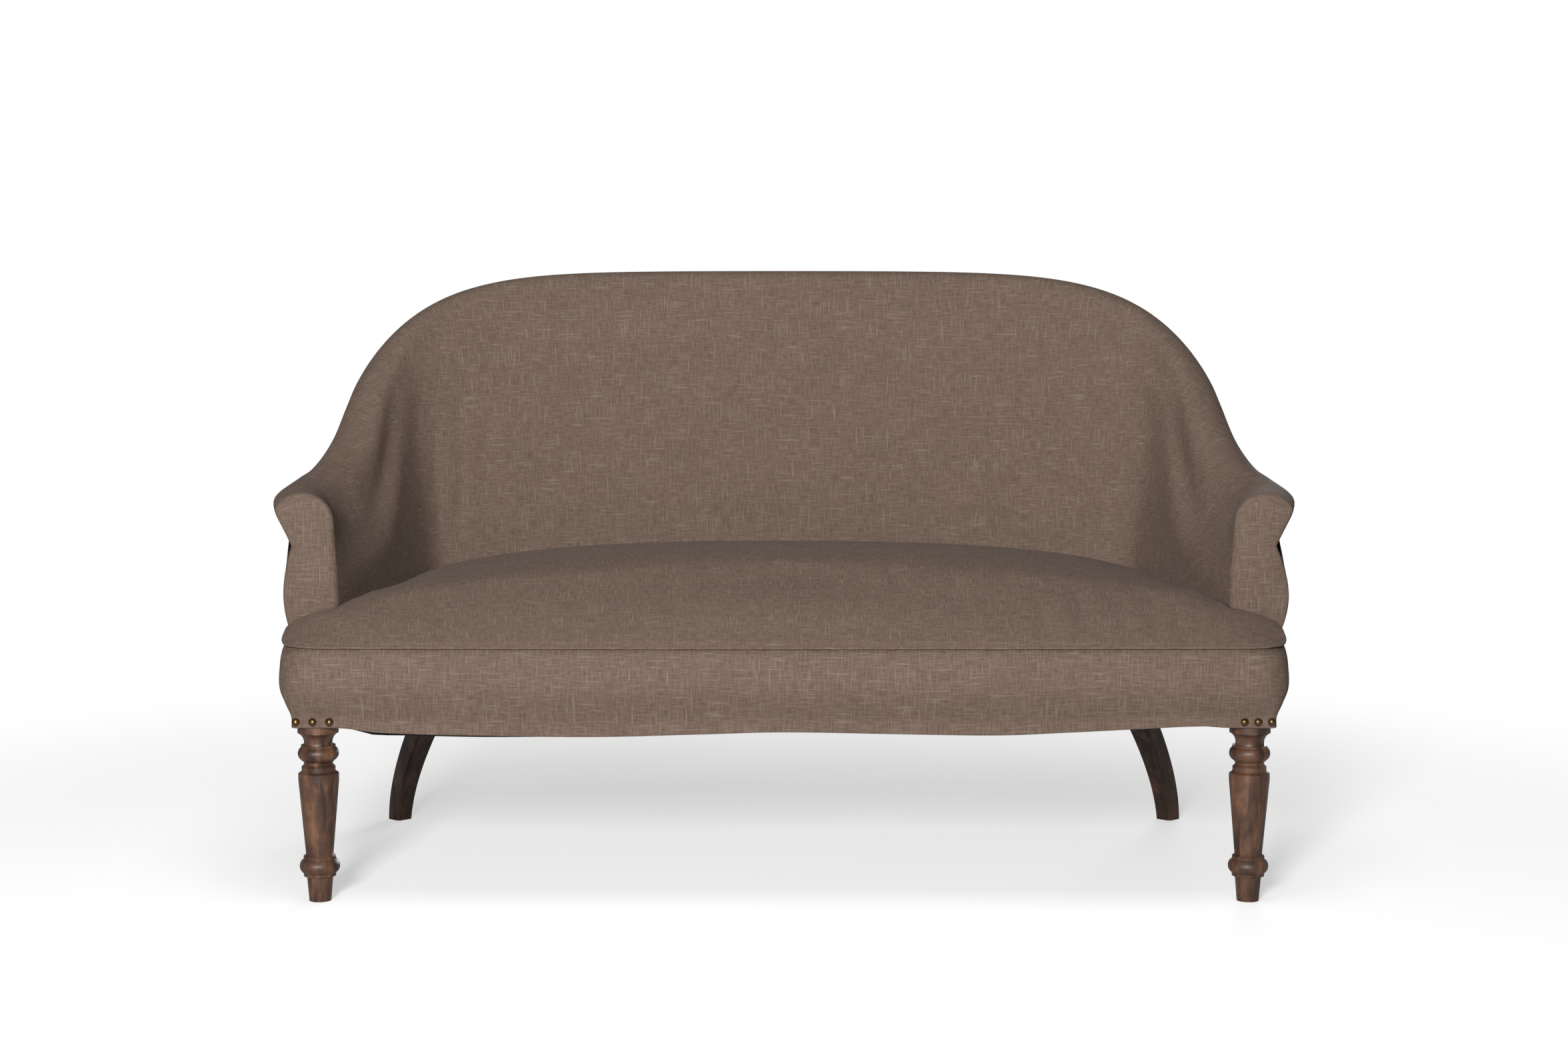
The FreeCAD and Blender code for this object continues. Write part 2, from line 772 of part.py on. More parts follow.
def hole_along(start, direction, radius, depth):
    return Part.makeCylinder(radius, depth, start, direction)


def front_corner_block(name, side):
    """A three-cornered block behind the leg's head, notched round it."""
    inner_x = float(frame_half) - n.frame_zone
    front_y = float(block_front_y) + n.frame_zone
    head_x = float(leg_spread) - n.leg_block / 2
    head_y = float(block_back_y)
    top = float(rail_top) - (n.rail_tall - n.gusset_tall) / 2
    plan = [
        (head_x, front_y),
        (inner_x - n.front_gusset, front_y),
        (inner_x, front_y + n.front_gusset),
        (inner_x, head_y),
        (head_x, head_y),
    ]
    points = [VEC(x * side, y, top - n.gusset_tall) for x, y in plan]
    shape = Part.Face(Part.makePolygon(points + points[:1])).extrude(VEC(0, 0, n.gusset_tall))
    start, direction = corner_bolt_line(side)
    hole = hole_along(start, direction, n.bolt_r + n.bolt_gap, n.bolt_long)
    part_feature(f"front_corner_block_{name}", shape.cut(hole))


def back_corner_block(name, side):
    """A block against the head of the back leg, bevelled to the rails on both sides."""
    face = float(head_shift) + float(half_head)
    low = float(rail_bottom) + (n.rail_tall - n.gusset_tall) / 2
    half = n.back_gusset_long / 2
    shape = box_at(face, -half, low, face + n.back_gusset_thick, half, low + n.gusset_tall)
    for height in bolt_heights():
        start = VEC(face, 0, float(height))
        radius = n.bolt_r + n.bolt_gap
        shape = shape.cut(hole_along(start, VEC(1, 0, 0), radius, n.back_gusset_thick))
    shape.Placement = leg_frame(side)
    clear = lofted_bar(
        spaced((LEG_PLACE + 0.2) * side, (LEG_PLACE - 0.2) * side, 9),
        lambda p: low - 5,
        lambda p: low + n.gusset_tall + 5,
        lambda p, z: -n.panel_thick - n.frame_zone,
        lambda p, z: n.frame_zone,
    )
    part_feature(f"back_corner_block_{name}", largest(shape.cut(clear)))


# Back frame: arm posts, arm rails, crest rail, back posts, slats and tuck rails


def top_rail_bar(places):
    top = n.roll_pad
    return lofted_bar(
        places,
        lambda p: top_height(p) - top - n.top_rail_tall,
        lambda p: top_height(p) - top,
        lambda p, z: neck_out(p) - n.panel_thick - n.frame_zone,
        lambda p, z: neck_out(p) - n.top_rail_in,
    )


def arm_post(name, side):
    """A board with a bellied outline and an outward scroll, standing on the side rail."""
    body = new_body(f"arm_post_{name}", frame_half * side, post_back_y, ZERO)
    neck_z = d.arm_height - d.neck_drop
    rail_under = d.arm_height - d.roll_pad - d.top_rail_tall
    rail_over = d.arm_height - d.roll_pad
    belly = bow_radius((neck_z - rail_top) / 2, d.arm_belly - d.post_clearance)
    out = d.arm_neck_out
    tip = d.arm_neck_out + d.panel_thick - d.top_rail_in
    thick = d.frame_zone
    sketch = new_sketch(body, f"arm_post_outline_{name}", "XZ_Plane")
    corners = [
        (-thick, rail_top),
        (ZERO, rail_top),
        (out, neck_z),
        (out, rail_under),
        (tip, rail_under),
        (tip, rail_over),
        (out - thick, rail_over),
        (out - thick, neck_z),
    ]
    arcs = {2: belly, 0: -belly}
    if side < 0:
        corners = [(-x, z) for x, z in reversed(corners)]
        arcs = {6: belly, 0: -belly}
    corners = [(*c, arcs[k]) if k in arcs else c for k, c in enumerate(corners)]
    outline(sketch, corners)
    pad(body, sketch, d.arm_post_thick)


def arm_rail(name, side):
    start = place_of_run(float(post_back_y) - n.arm_front_y, side)
    part_feature(f"arm_rail_{name}", top_rail_bar(spaced(start, LEG_PLACE * side, 9)))


def crest_rail():
    part_feature("crest_rail", top_rail_bar(spaced(-LEG_PLACE, LEG_PLACE, 17)))


def under_top_rail(place):
    return top_height(place) - n.roll_pad - n.top_rail_tall


def upright(place, wide, thick, levels=5):
    """A leaning post or slat on the back rail, cut to the slope of the rail above it."""
    reach = wide / 2 / HALF_RUN
    high = max(under_top_rail(place - reach), under_top_rail(place + reach))
    wires = []
    for z in spaced(float(rail_top), high, levels):
        edge = frame_out(place, z)
        corners = [
            spot(place - reach, edge - thick, z),
            spot(place + reach, edge - thick, z),
            spot(place + reach, edge, z),
            spot(place - reach, edge, z),
        ]
        wires.append(Part.makePolygon(corners + corners[:1]))
    above = lofted_bar(
        spaced(place - reach * 2, place + reach * 2, 7),
        under_top_rail,
        lambda p: high + n.top_rail_tall,
        lambda p, z: neck_out(p) - n.frame_zone * 3,
        lambda p, z: neck_out(p) + n.frame_zone,
    )
    return largest(loft(wires).cut(above))


def back_post(name, side):
    part_feature(f"back_post_{name}", upright(LEG_PLACE * side, n.back_post_wide, n.frame_zone))


def back_slat(name, side):
    place = n.slat_spread / HALF_RUN * side
    part_feature(f"back_slat_{name}", upright(place, n.slat_wide, n.slat_thick))


def tuck_bar(places, inner, outer):
    """A lower rail whose faces lean with the frame."""
    return lofted_bar(
        places,
        lambda p: n.tuck_rail_height,
        lambda p: n.tuck_rail_height + n.tuck_rail_tall,
        lambda p, z: frame_out(p, z) - inner,
        lambda p, z: frame_out(p, z) - outer,
    )


def arm_tuck_rail(name, side):
    start = place_of_run(float(post_back_y) - n.arm_front_y, side)
    end = (LEG_PLACE + n.back_post_wide / 2 / HALF_RUN) * side
    part_feature(f"arm_tuck_rail_{name}", tuck_bar(spaced(start, end, 9), n.frame_zone, 0))


def back_tuck_rail():
    end = LEG_PLACE - n.back_post_wide / 2 / HALF_RUN
    bar = tuck_bar(spaced(-end, end, 13), n.frame_zone, n.slat_thick + n.fit_gap)
    part_feature("back_tuck_rail", bar)


# Springing: woven webbing in the seat, upright webbing in the back, hessian on top


def offset_line(out, count=401):
    """Points of the right half of the tub line, moved outwards."""
    return [spot(place, out, 0) for place in spaced(0.0, 1.0, count)]


def width_at(y, out):
    """Half width of the moved tub line at a depth."""
    line = offset_line(out)
    if y <= line[-1].y:
        return line[-1].x
    return next(a.x for a, b in zip(line, line[1:]) if b.y <= y)


def depth_at(x, out):
    """Rear edge of the moved tub line at a distance from the middle."""
    line = offset_line(out)
    return next(a.y for a, b in zip(line, line[1:]) if b.x >= abs(x))


def woven_strap(start, along, across, length, crossings, over):
    """A flat strap that rises over every second strap that it crosses."""
    half = n.strap_wide / 2
    ease = n.strap_wide / 5
    lift = n.strap_thick + n.bolt_gap / 2
    path = [(0.0, 0.0)]
    for k, middle in enumerate(crossings):
        if (k % 2 == 0) == over:
            path += [(middle - half - ease, 0.0), (middle - half, lift)]
            path += [(middle + half, lift), (middle + half + ease, 0.0)]
    path.append((length, 0.0))
    low = [start + along * s + VEC(0, 0, z) for s, z in path]
    high = [point + VEC(0, 0, n.strap_thick) for point in reversed(low)]
    face = Part.Face(Part.makePolygon(low + high + low[:1]))
    return face.extrude(across * n.strap_wide)


def seat_webbing():
    """Two nodes: the straps from side to side and those from front to back."""
    half = n.strap_wide / 2
    on_rail = n.strap_overlap - n.panel_thick - n.frame_zone
    top = float(rail_top)
    first = n.leg_front_y + n.first_cross_strap
    rows = [first + n.cross_pitch * k for k in range(int(n.cross_straps))]
    middle = (int(n.long_straps) - 1) / 2
    columns = [n.long_pitch * (k - middle) for k in range(int(n.long_straps))]
    front = float(block_front_y) - n.front_bow + n.frame_zone - n.strap_overlap
    cross = []
    for k, y in enumerate(rows):
        reach = min(width_at(y - half, on_rail), width_at(y + half, on_rail))
        start = VEC(-reach, y - half, top)
        places = [x + reach for x in columns]
        cross.append(woven_strap(start, VEC(1, 0, 0), VEC(0, 1, 0), reach * 2, places, k % 2 == 0))
    part_feature("webbing_across", Part.makeCompound(cross))
    lengthways = []
    for k, x in enumerate(columns):
        back = min(depth_at(x - half, on_rail), depth_at(x + half, on_rail))
        start = VEC(x + half, front, top)
        places = [y - front for y in rows]
        lengthways.append(
            woven_strap(start, VEC(0, 1, 0), VEC(-1, 0, 0), back - front, places, k % 2 == 1)
        )
    part_feature("webbing_lengthways", Part.makeCompound(lengthways))


def back_webbing():
    """Upright straps from the lower rail to the crest rail, in front of the frame."""
    reach = n.strap_wide / 2 / HALF_RUN
    middle = (int(n.back_straps) - 1) / 2
    straps = []
    for k in range(int(n.back_straps)):
        place = n.back_pitch * (k - middle) / HALF_RUN
        wires = []
        for p in spaced(place - reach, place + reach, 3):
            low = n.tuck_rail_height + n.fit_gap
            edge = [(frame_out(p, z) - n.frame_zone, z) for z in spaced(low, neck_height(p), 5)]
            edge.append((edge[-1][0], top_height(p) - n.roll_pad - n.fit_gap))
            outer = [(out - n.fit_gap, z) for out, z in edge]
            inner = [(out - n.fit_gap - n.strap_thick, z) for out, z in reversed(edge)]
            wires.append(tub_section(p, outer + inner))
        straps.append(loft(wires))
    part_feature("back_webbing", Part.makeCompound(straps))


def plan_face(out, half_width, front_y, z):
    """A flat face inside the moved tub line, closed by a straight front."""
    line = [spot(p, out, z) for p in spaced(-1.0, 1.0, 25)]
    front = [line[-1], VEC(half_width, front_y, z), VEC(-half_width, front_y, z), line[0]]
    return Part.Face(Part.Wire([smooth(line), *chain(front)]))


def hessian():
    inside = -n.panel_thick - n.frame_zone - n.fit_gap
    low = float(rail_top) + n.strap_thick * 2 + n.fit_gap
    front = float(block_front_y) + n.frame_zone / 2
    face = plan_face(inside, n.tub_half_width + inside, front, low)
    part_feature("hessian", face.extrude(VEC(0, 0, n.hessian_thick)))


# Upholstery of the tub: one inside pad over back and arms, facings and outside covers

PAD_BOTTOM = float(rail_top) + n.panel_thick
PAD_RUN = n.arm_pad_thick


def inner_line(place, low):
    """Inside face from the bottom to the inner shoulder of the roll."""
    neck, top = neck_height(place), top_height(place)
    base = n.inner_start_height
    leaning = [(inner_out(place, z), z) for z in spaced(base, neck, 4)]
    shoulder = (neck_out(place) - n.shoulder_in, top - n.shoulder_drop)
    return [(inner_out(place, low), low), *leaning, shoulder]


def roll_line(place, count=6):
    """Points of the arc from the inner shoulder over the top to the outer tip."""
    out, top = neck_out(place), top_height(place)
    tip = out + blend(place, n.arm_roll_out, n.back_roll_out)
    start = VEC(out - n.shoulder_in, top - n.shoulder_drop, 0)
    middle = VEC(out - n.roll_top_in, top, 0)
    arc = Part.Arc(start, middle, VEC(tip, top - n.roll_tip_drop, 0)).toShape()
    return [(point.x, point.y) for point in arc.discretize(count)]


def inside_section(place):
    """The pad hooks over the top rail and down to the neck."""
    out, neck, top = neck_out(place), neck_height(place), top_height(place)
    gap = n.fit_gap
    rail_low = top - n.roll_pad - n.top_rail_tall - gap
    rail_high = top - n.roll_pad + gap
    rail_out = out - n.top_rail_in + gap
    lip = out - n.panel_thick
    rear = [(pad_back(place, z), z) for z in spaced(neck, PAD_BOTTOM, 4)]
    inner = inner_line(place, PAD_BOTTOM)
    hook = [
        (out, neck + gap),
        (lip, neck + gap),
        (lip, rail_low),
        (rail_out, rail_low),
        (rail_out, rail_high),
        (rear[0][0], rail_high),
    ]
    return tub_section(place, [*inner, *roll_line(place)[1:], *hook, *rear])


PAD_PLACES = spaced(place_of_run(PAD_RUN, -1), place_of_run(PAD_RUN, 1), 17)


def inside_pad():
    wires = [inside_section(place) for place in PAD_PLACES]
    part_feature("inside_back_and_arms", loft(wires))


def outer_line(place, low, inside=0.0):
    """Outside face from the neck down to a height, or a face parallel to it further in."""
    base = float(rail_top)
    leaning = [(outer_out(place, z) - inside, z) for z in spaced(neck_height(place), base, 4)]
    return [*leaning, (-inside, low)]


def arm_facing(name, side):
    """Padded facing with the whole outline of the arm's front."""
    low = float(rail_top) + n.fit_gap
    outer = outer_line(side, low)[:-2]
    wire = tub_section(side, [*inner_line(side, low), *roll_line(side, 9)[1:], *outer, (0.0, low)])
    part_feature(f"arm_facing_{name}", Part.Face(wire).extrude(VEC(0, n.arm_pad_thick, 0)))


def outside_section(place):
    low = n.leg_height
    rear = outer_line(place, low, n.panel_thick - n.fit_gap)
    return tub_section(place, [*outer_line(place, low), *reversed(rear)])


def outside_arm(name, side):
    """Outside cover of an arm; its front edge steps back behind the facing."""
    places = spaced(side, (LEG_PLACE + n.fit_gap / HALF_RUN) * side, 8)
    cover = loft([outside_section(place) for place in places])
    reach = float(n.tub_half_width)
    low = float(rail_top)
    behind = n.arm_front_y + PAD_RUN + n.fit_gap
    step = box_at(-reach * 2, n.arm_front_y - 1, low, reach * 2, behind, low * 2)
    part_feature(f"outside_arm_{name}", largest(cover.cut(step)))


def outside_back():
    wires = [outside_section(place) for place in spaced(-LEG_PLACE, LEG_PLACE, 17)]
    part_feature("outside_back", loft(wires))


# Seat upholstery: foam and cover with ears in front of the arms, and a swelling border


def front_wire(offset, corner, z, back_y):
    """Plan of the seat's front, moved outwards from the frame; closed by a straight back.

    The bowed front and the corner arcs touch smoothly.
    """
    x = float(frame_half) + offset
    big = bow_radius(float(frame_half), n.front_bow) + offset
    big_y = float(block_front_y) - n.front_bow - offset + big
    corner_x = x - corner
    corner_y = big_y - math.sqrt((big - corner) ** 2 - corner_x**2)
    along = VEC(corner_x, corner_y - big_y, 0).normalize()
    meet = VEC(corner_x + along.x * corner, corner_y + along.y * corner, z)
    half_way = (along + VEC(1, 0, 0)).normalize() * corner
    turn = VEC(corner_x + half_way.x, corner_y + half_way.y, z)
    right = [meet, turn, VEC(x, corner_y, z)]
    left = [VEC(-point.x, point.y, z) for point in reversed(right)]
    edges = [
        *chain([VEC(-x, back_y, z), left[0]]),
        Part.Arc(*left).toShape(),
        Part.Arc(left[2], VEC(0, big_y - big, z), right[0]).toShape(),
        Part.Arc(*right).toShape(),
        *chain([right[2], VEC(x, back_y, z), VEC(-x, back_y, z)]),
    ]
    return Part.Wire(edges)


def front_prism(offset, corner, low, high, back_y):
    face = Part.Face(front_wire(offset, corner, low, back_y))
    return face.extrude(VEC(0, 0, high - low))


def seam_front(x):
    """Front edge of the seam at a distance from the middle."""
    half = float(frame_half) + n.seam_out
    corner_x = half - n.seam_corner
    front = float(block_front_y) - n.seam_out
    x = min(abs(x), half)
    bow = n.front_bow * (1 - (x / half) ** 2)
    if x <= corner_x:
        return front - bow
    depth = math.sqrt(n.seam_corner**2 - (x - corner_x) ** 2)
    return front - bow + n.seam_corner - depth


SEAT_BACK_Y = n.arm_front_y + n.tub_depth - n.back_inner
SEAT_BASE = n.seam_height + n.seat_cover_thick + n.fit_gap


def seat_section(x, drop):
    """Profile of the crowned seat from front to back; drop lowers the whole surface."""
    half = float(frame_half) + n.seam_out
    across = max(0.0, 1 - (abs(x) / half) ** 2.5) ** 0.6
    front = seam_front(x)
    points = [(front - 4, SEAT_BASE - 12), (front, SEAT_BASE)]
    for share in (0.06, 0.16, 0.32, 0.52, 0.76, 1.0):
        along = (1 - (1 - share) ** 2.2) ** 0.75
        y = front + (n.crown_y - front) * share
        points.append((y, SEAT_BASE + n.seat_crown * across * along))
    back = SEAT_BACK_Y + n.back_inner
    for share in (0.4, 0.75, 1.0):
        y = n.crown_y + (back - n.crown_y) * share
        fall = n.crown_back_fall * ((y - n.crown_y) / (SEAT_BACK_Y - n.crown_y)) ** 2
        points.append((y, SEAT_BASE + (n.seat_crown - fall) * across))
    top = [VEC(x, y, z - drop) for y, z in points]
    floor = n.leg_height
    under = [top[-1], VEC(x, top[-1].y, floor), VEC(x, top[0].y, floor), top[0]]
    return Part.makePolygon(top + under[1:])


def seat_dome(drop):
    half = float(frame_half) + n.seam_out
    reach = [0, 160, 310, 430, 520, 585, 630, 662, half - 6, half + 1]
    stations = sorted({-x for x in reach} | set(reach))
    return loft([seat_section(x, drop) for x in stations])


def arm_clearance():
    """Room taken by the inside pad and the facings, with the gap to the seat."""
    gap = n.fit_gap
    low, high = n.leg_height, n.inner_start_height + n.seat_crown
    face_z = [low, *spaced(n.inner_start_height, high, 6)]
    wires = []
    for place in [place_of_run(-gap, -1), *PAD_PLACES, place_of_run(-gap, 1)]:
        inner = [(inner_out(place, z) - gap, z) for z in face_z]
        outer = [(n.frame_zone * 3, high), (n.frame_zone * 3, low)]
        wires.append(tub_section(place, inner + outer))
    return loft(wires)


def seat():
    back = n.arm_front_y + n.tub_depth
    clearance = arm_clearance()
    high = n.seam_height + n.seat_crown * 2
    foam_low = float(rail_top) + n.strap_thick * 2 + n.hessian_thick + n.fit_gap * 2
    foam_corner = n.seam_corner - n.seam_out
    drop = n.seat_cover_thick + n.fit_gap
    foam = seat_dome(drop).common(front_prism(-n.fit_gap, foam_corner, foam_low, high, back))
    part_feature("seat_foam", largest(foam.cut(clearance)))
    above = n.seam_height + n.fit_gap
    cover = seat_dome(0.0).common(front_prism(n.seam_out, n.seam_corner, above, high, back))
    cover = cover.cut(seat_dome(n.seat_cover_thick))
    part_feature("seat_cover", largest(cover.cut(clearance)))


def front_border():
    """Swelling border under the seam, hollow round the frame, with holes for the nails."""
    levels = [
        (n.leg_height, n.hem_thick, n.hem_corner),
        (n.nail_height + n.nail_head_r + 1, n.hem_thick, n.hem_corner + 1),
        (n.nail_height + n.nail_head_r * 4, n.hem_thick + 6.3, n.hem_corner + 19),
        (n.swell_height, n.seam_out + n.border_swell, n.seam_corner - 5),
        (n.seam_height - 21, n.seam_out + n.border_swell - 2, n.seam_corner - 3),
        (n.seam_height, n.seam_out, n.seam_corner),
    ]
    end = n.arm_front_y - n.fit_gap
    wires = [front_wire(offset, corner, z, end) for z, offset, corner in levels]
    border = Part.makeLoft(wires, True, True)
    gap = n.fit_gap
    block_top = float(rail_top) + gap
    border = border.cut(front_prism(gap, n.block_round, 0, block_top, 0))
    soft = n.seam_corner - n.seam_out
    border = border.cut(front_prism(gap, soft, block_top - gap, n.seam_height * 2, 0))
    for _, side in SIDES:
        for place in nail_places(side):
            x = float(leg_spread) * side + float(place)
            start = VEC(x, float(block_front_y) - n.hem_thick * 3, n.nail_height)
            hole = hole_along(start, VEC(0, 1, 0), n.nail_shank_r + n.bolt_gap, n.hem_thick * 4)
            border = border.cut(hole)
    part_feature("front_border", largest(border))


def dust_cover():
    """Black cambric under the frame, cut out round the four legs."""
    gap = n.fit_gap
    low = float(rail_bottom) - gap - n.cambric_thick
    inside = -n.panel_thick - gap
    front = float(block_front_y) + gap
    face = plan_face(inside, n.tub_half_width + inside, front, low)
    sheet = face.extrude(VEC(0, 0, n.cambric_thick))
    half = n.leg_block / 2 + gap
    for _, side in SIDES:
        x, y = float(leg_spread) * side, n.leg_front_y
        sheet = sheet.cut(box_at(x - half - 1, y - half - 1, low - 1, x + half, y + half, low + 5))
        sheet = sheet.cut(box_at(x - half, y - half - 1, low - 1, x + half + 1, y + half, low + 5))
        sheet = sheet.cut(head_prism(side, gap))
    part_feature("dust_cover", largest(sheet))


# Fixings: domed nails in the border and bolts in the corner blocks


def placed(thing, base, turn):
    """Turn a primitive and tie its corner to the sheet."""
    thing.Placement = FreeCAD.Placement(VEC(0, 0, 0), turn)
    for axis, size in zip("xyz", base):
        thing.setExpression(f".Placement.Base.{axis}", size.text)
    return thing


def group(label, things):
    """Loose identical pieces as one node."""
    feature = doc.addObject("Part::Compound", label)
    feature.Label = label
    feature.Links = things
    parts[label] = feature


def border_nails():
    """Six nails: a domed head and a round shank, driven through the border."""
    ball = (d.nail_head_r * d.nail_head_r + d.nail_head_tall * d.nail_head_tall) / (
        d.nail_head_tall * 2
    )
    sunk = ball - d.nail_head_tall
    outwards = FreeCAD.Rotation(VEC(0, 0, 1), VEC(0, -1, 0))
    nails = []
    for name, side in SIDES:
        for k, place in enumerate(nail_places(side)):
            x = leg_spread * side + place
            bow = d.front_bow - d.front_bow * x * x / (frame_half * frame_half)
            face_y = block_front_y - bow - d.hem_thick - d.fit_gap
            head = doc.addObject("Part::Sphere", f"nail_head_{name}_{k}")
            bind(head, Radius=ball)
            head.setExpression("Angle1", f"asin({sunk.text} / {ball.text})")
            placed(head, (x, face_y + sunk, d.nail_height), outwards)
            shank = doc.addObject("Part::Cylinder", f"nail_shank_{name}_{k}")
            bind(shank, Radius=d.nail_shank_r, Height=d.nail_shank_long)
            placed(shank, (x, face_y, d.nail_height), outwards.inverted())
            nail = doc.addObject("Part::Fuse", f"nail_{name}_{k}")
            nail.Base = head
            nail.Tool = shank
            nails.append(nail)
    group("border_nails", nails)


def leg_bolts():
    """Six bolts that draw the legs against their corner blocks."""
    middle = rail_bottom + d.rail_tall / 2
    bolts = []
    for name, side in SIDES:
        inner = frame_half - d.frame_zone - d.front_gusset / 2
        front = (inner * side, block_front_y + d.frame_zone + d.front_gusset / 2, middle)
        reach = (head_shift + half_head + d.back_gusset_thick) * math.sqrt(0.5)
        back_x = (d.foot_spread - reach) * side
        back_y = d.foot_back_y - reach
        starts = [(front, VEC(side, -1, 0))]
        starts += [((back_x, back_y, z), VEC(side, 1, 0)) for z in bolt_heights()]
        for k, (start, direction) in enumerate(starts):
            shank = doc.addObject("Part::Cylinder", f"bolt_shank_{name}_{k}")
            bind(shank, Radius=d.bolt_r, Height=d.bolt_long)
            placed(shank, start, FreeCAD.Rotation(VEC(0, 0, 1), direction))
            head = doc.addObject("Part::Prism", f"bolt_head_{name}_{k}")
            head.Polygon = 6
            bind(head, Circumradius=d.bolt_head_r, Height=d.bolt_head_tall)
            placed(head, start, FreeCAD.Rotation(VEC(0, 0, 1), -direction))
            bolt = doc.addObject("Part::Fuse", f"bolt_{name}_{k}")
            bolt.Base = shank
            bolt.Tool = head
            bolts.append(bolt)
    group("leg_bolts", bolts)


# Build every piece, check it and write it


for side_name, side_sign in SIDES:
    front_leg(side_name, side_sign)
    back_leg(side_name, side_sign)
    side_rail(side_name, side_sign)
    front_corner_block(side_name, side_sign)
    back_corner_block(side_name, side_sign)
    arm_post(side_name, side_sign)
    arm_rail(side_name, side_sign)
    back_post(side_name, side_sign)
    back_slat(side_name, side_sign)
    arm_tuck_rail(side_name, side_sign)
    arm_facing(side_name, side_sign)
    outside_arm(side_name, side_sign)

front_rail()
middle_brace()
back_rail()
crest_rail()
back_tuck_rail()
seat_webbing()
back_webbing()
hessian()
inside_pad()
outside_back()
seat()
front_border()
dust_cover()
border_nails()
leg_bolts()

doc.recompute()
for thing in doc.Objects:
    if {"Invalid", "Error"} & set(thing.State):
        raise RuntimeError(f"{thing.Label} did not build")

os.makedirs("parts", exist_ok=True)
for label, thing in parts.items():
    if thing.Shape.isNull() or not thing.Shape.isValid():
        raise RuntimeError(f"{label} has no valid shape")
    thing.Shape.exportStep(f"parts/{label}.step")
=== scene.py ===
import bisect
import math

import bmesh
import bpy
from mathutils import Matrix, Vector


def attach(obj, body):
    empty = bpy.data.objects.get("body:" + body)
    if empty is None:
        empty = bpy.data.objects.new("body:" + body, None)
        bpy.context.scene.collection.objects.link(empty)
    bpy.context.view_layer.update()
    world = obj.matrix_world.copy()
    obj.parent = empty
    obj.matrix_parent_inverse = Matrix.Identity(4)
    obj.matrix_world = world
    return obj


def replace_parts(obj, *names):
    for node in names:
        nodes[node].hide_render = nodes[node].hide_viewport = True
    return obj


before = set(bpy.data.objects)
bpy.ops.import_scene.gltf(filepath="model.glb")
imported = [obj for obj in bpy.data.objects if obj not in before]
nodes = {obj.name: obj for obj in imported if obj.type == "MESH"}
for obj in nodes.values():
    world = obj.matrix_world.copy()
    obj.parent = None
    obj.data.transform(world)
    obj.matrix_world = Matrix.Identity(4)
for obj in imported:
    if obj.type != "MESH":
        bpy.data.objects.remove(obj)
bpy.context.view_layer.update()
bpy.ops.object.select_all(action="DESELECT")


# Turned front legs
# Two short hardwood legs turned on a lathe from 57 mm stock, with a square head that
# is bolted into the corner of the seat frame. They are stained brown and rubbed back,
# so the grain shows light on the round parts and dark glaze stays in the quirks.
def linear(code):
    parts = [int(code[k : k + 2], 16) / 255 for k in (1, 3, 5)]
    return [p / 12.92 if p <= 0.04045 else ((p + 0.055) / 1.055) ** 2.4 for p in parts] + [1.0]


def add(tree, kind, settings=None, inputs=None):
    made = tree.nodes.new(kind)
    for name, value in (settings or {}).items():
        setattr(made, name, value)
    for name, value in (inputs or {}).items():
        if isinstance(value, bpy.types.NodeSocket):
            tree.links.new(value, made.inputs[name])
        else:
            made.inputs[name].default_value = value
    return made


def object_place(tree):
    return add(tree, "ShaderNodeTexCoord").outputs["Object"]


def scaled(tree, place, scale, **others):
    settings = {name.replace("_", " "): value for name, value in others.items()}
    return add(tree, "ShaderNodeMapping", {}, {"Vector": place, "Scale": scale, **settings}).outputs[0]


def noise(tree, place, scale, detail, flat=False, **others):
    """Noise at the place; flat draws it on the two directions of the cloth only."""
    settings = {"noise_dimensions": "2D"} if flat else {}
    values = {"Vector": place, "Scale": scale, "Detail": detail, **others}
    return add(tree, "ShaderNodeTexNoise", settings, values).outputs[0]


def ranged(tree, value, low, high, to_low=0.0, to_high=1.0):
    limits = {"From Min": low, "From Max": high, "To Min": to_low, "To Max": to_high}
    return add(tree, "ShaderNodeMapRange", {}, {"Value": value, **limits}).outputs[0]


def blend(tree, share, low, high):
    """Mixes two colours, each a hex code or a socket."""
    ends = [linear(colour) if isinstance(colour, str) else colour for colour in (low, high)]
    return add(tree, "ShaderNodeMix", {"data_type": "RGBA"}, {0: share, 6: ends[0], 7: ends[1]}).outputs[2]


def multiplied(tree, share, colour, grey):
    """Darkens a colour by a grey value, by a share."""
    mixed = add(tree, "ShaderNodeMix", {"data_type": "RGBA", "blend_type": "MULTIPLY"}, {0: share, 6: colour})
    tree.links.new(grey, mixed.inputs[7])
    return mixed.outputs[2]


def finish_surface(tree, shader, colour, height=None, strength=0.0, distance=0.0):
    """Joins the colour and the bump, its distance in metres, to the shader."""
    tree.links.new(colour, shader.inputs["Base Color"])
    if height is not None:
        bump = add(tree, "ShaderNodeBump", {}, {"Height": height, "Strength": strength, "Distance": distance})
        tree.links.new(bump.outputs[0], shader.inputs["Normal"])


def new_material(name, roughness, **others):
    material = bpy.data.materials.new(name)
    material.use_nodes = True
    tree = material.node_tree
    shader = tree.nodes["Principled BSDF"]
    shader.inputs["Roughness"].default_value = roughness
    for socket, value in others.items():
        shader.inputs[socket.replace("_", " ")].default_value = value
    return material, tree, shader


def give(material, *names):
    for name in names:
        slots = nodes[name].data.materials
        if not slots:
            slots.append(material)
        for k in range(len(slots)):
            slots[k] = material


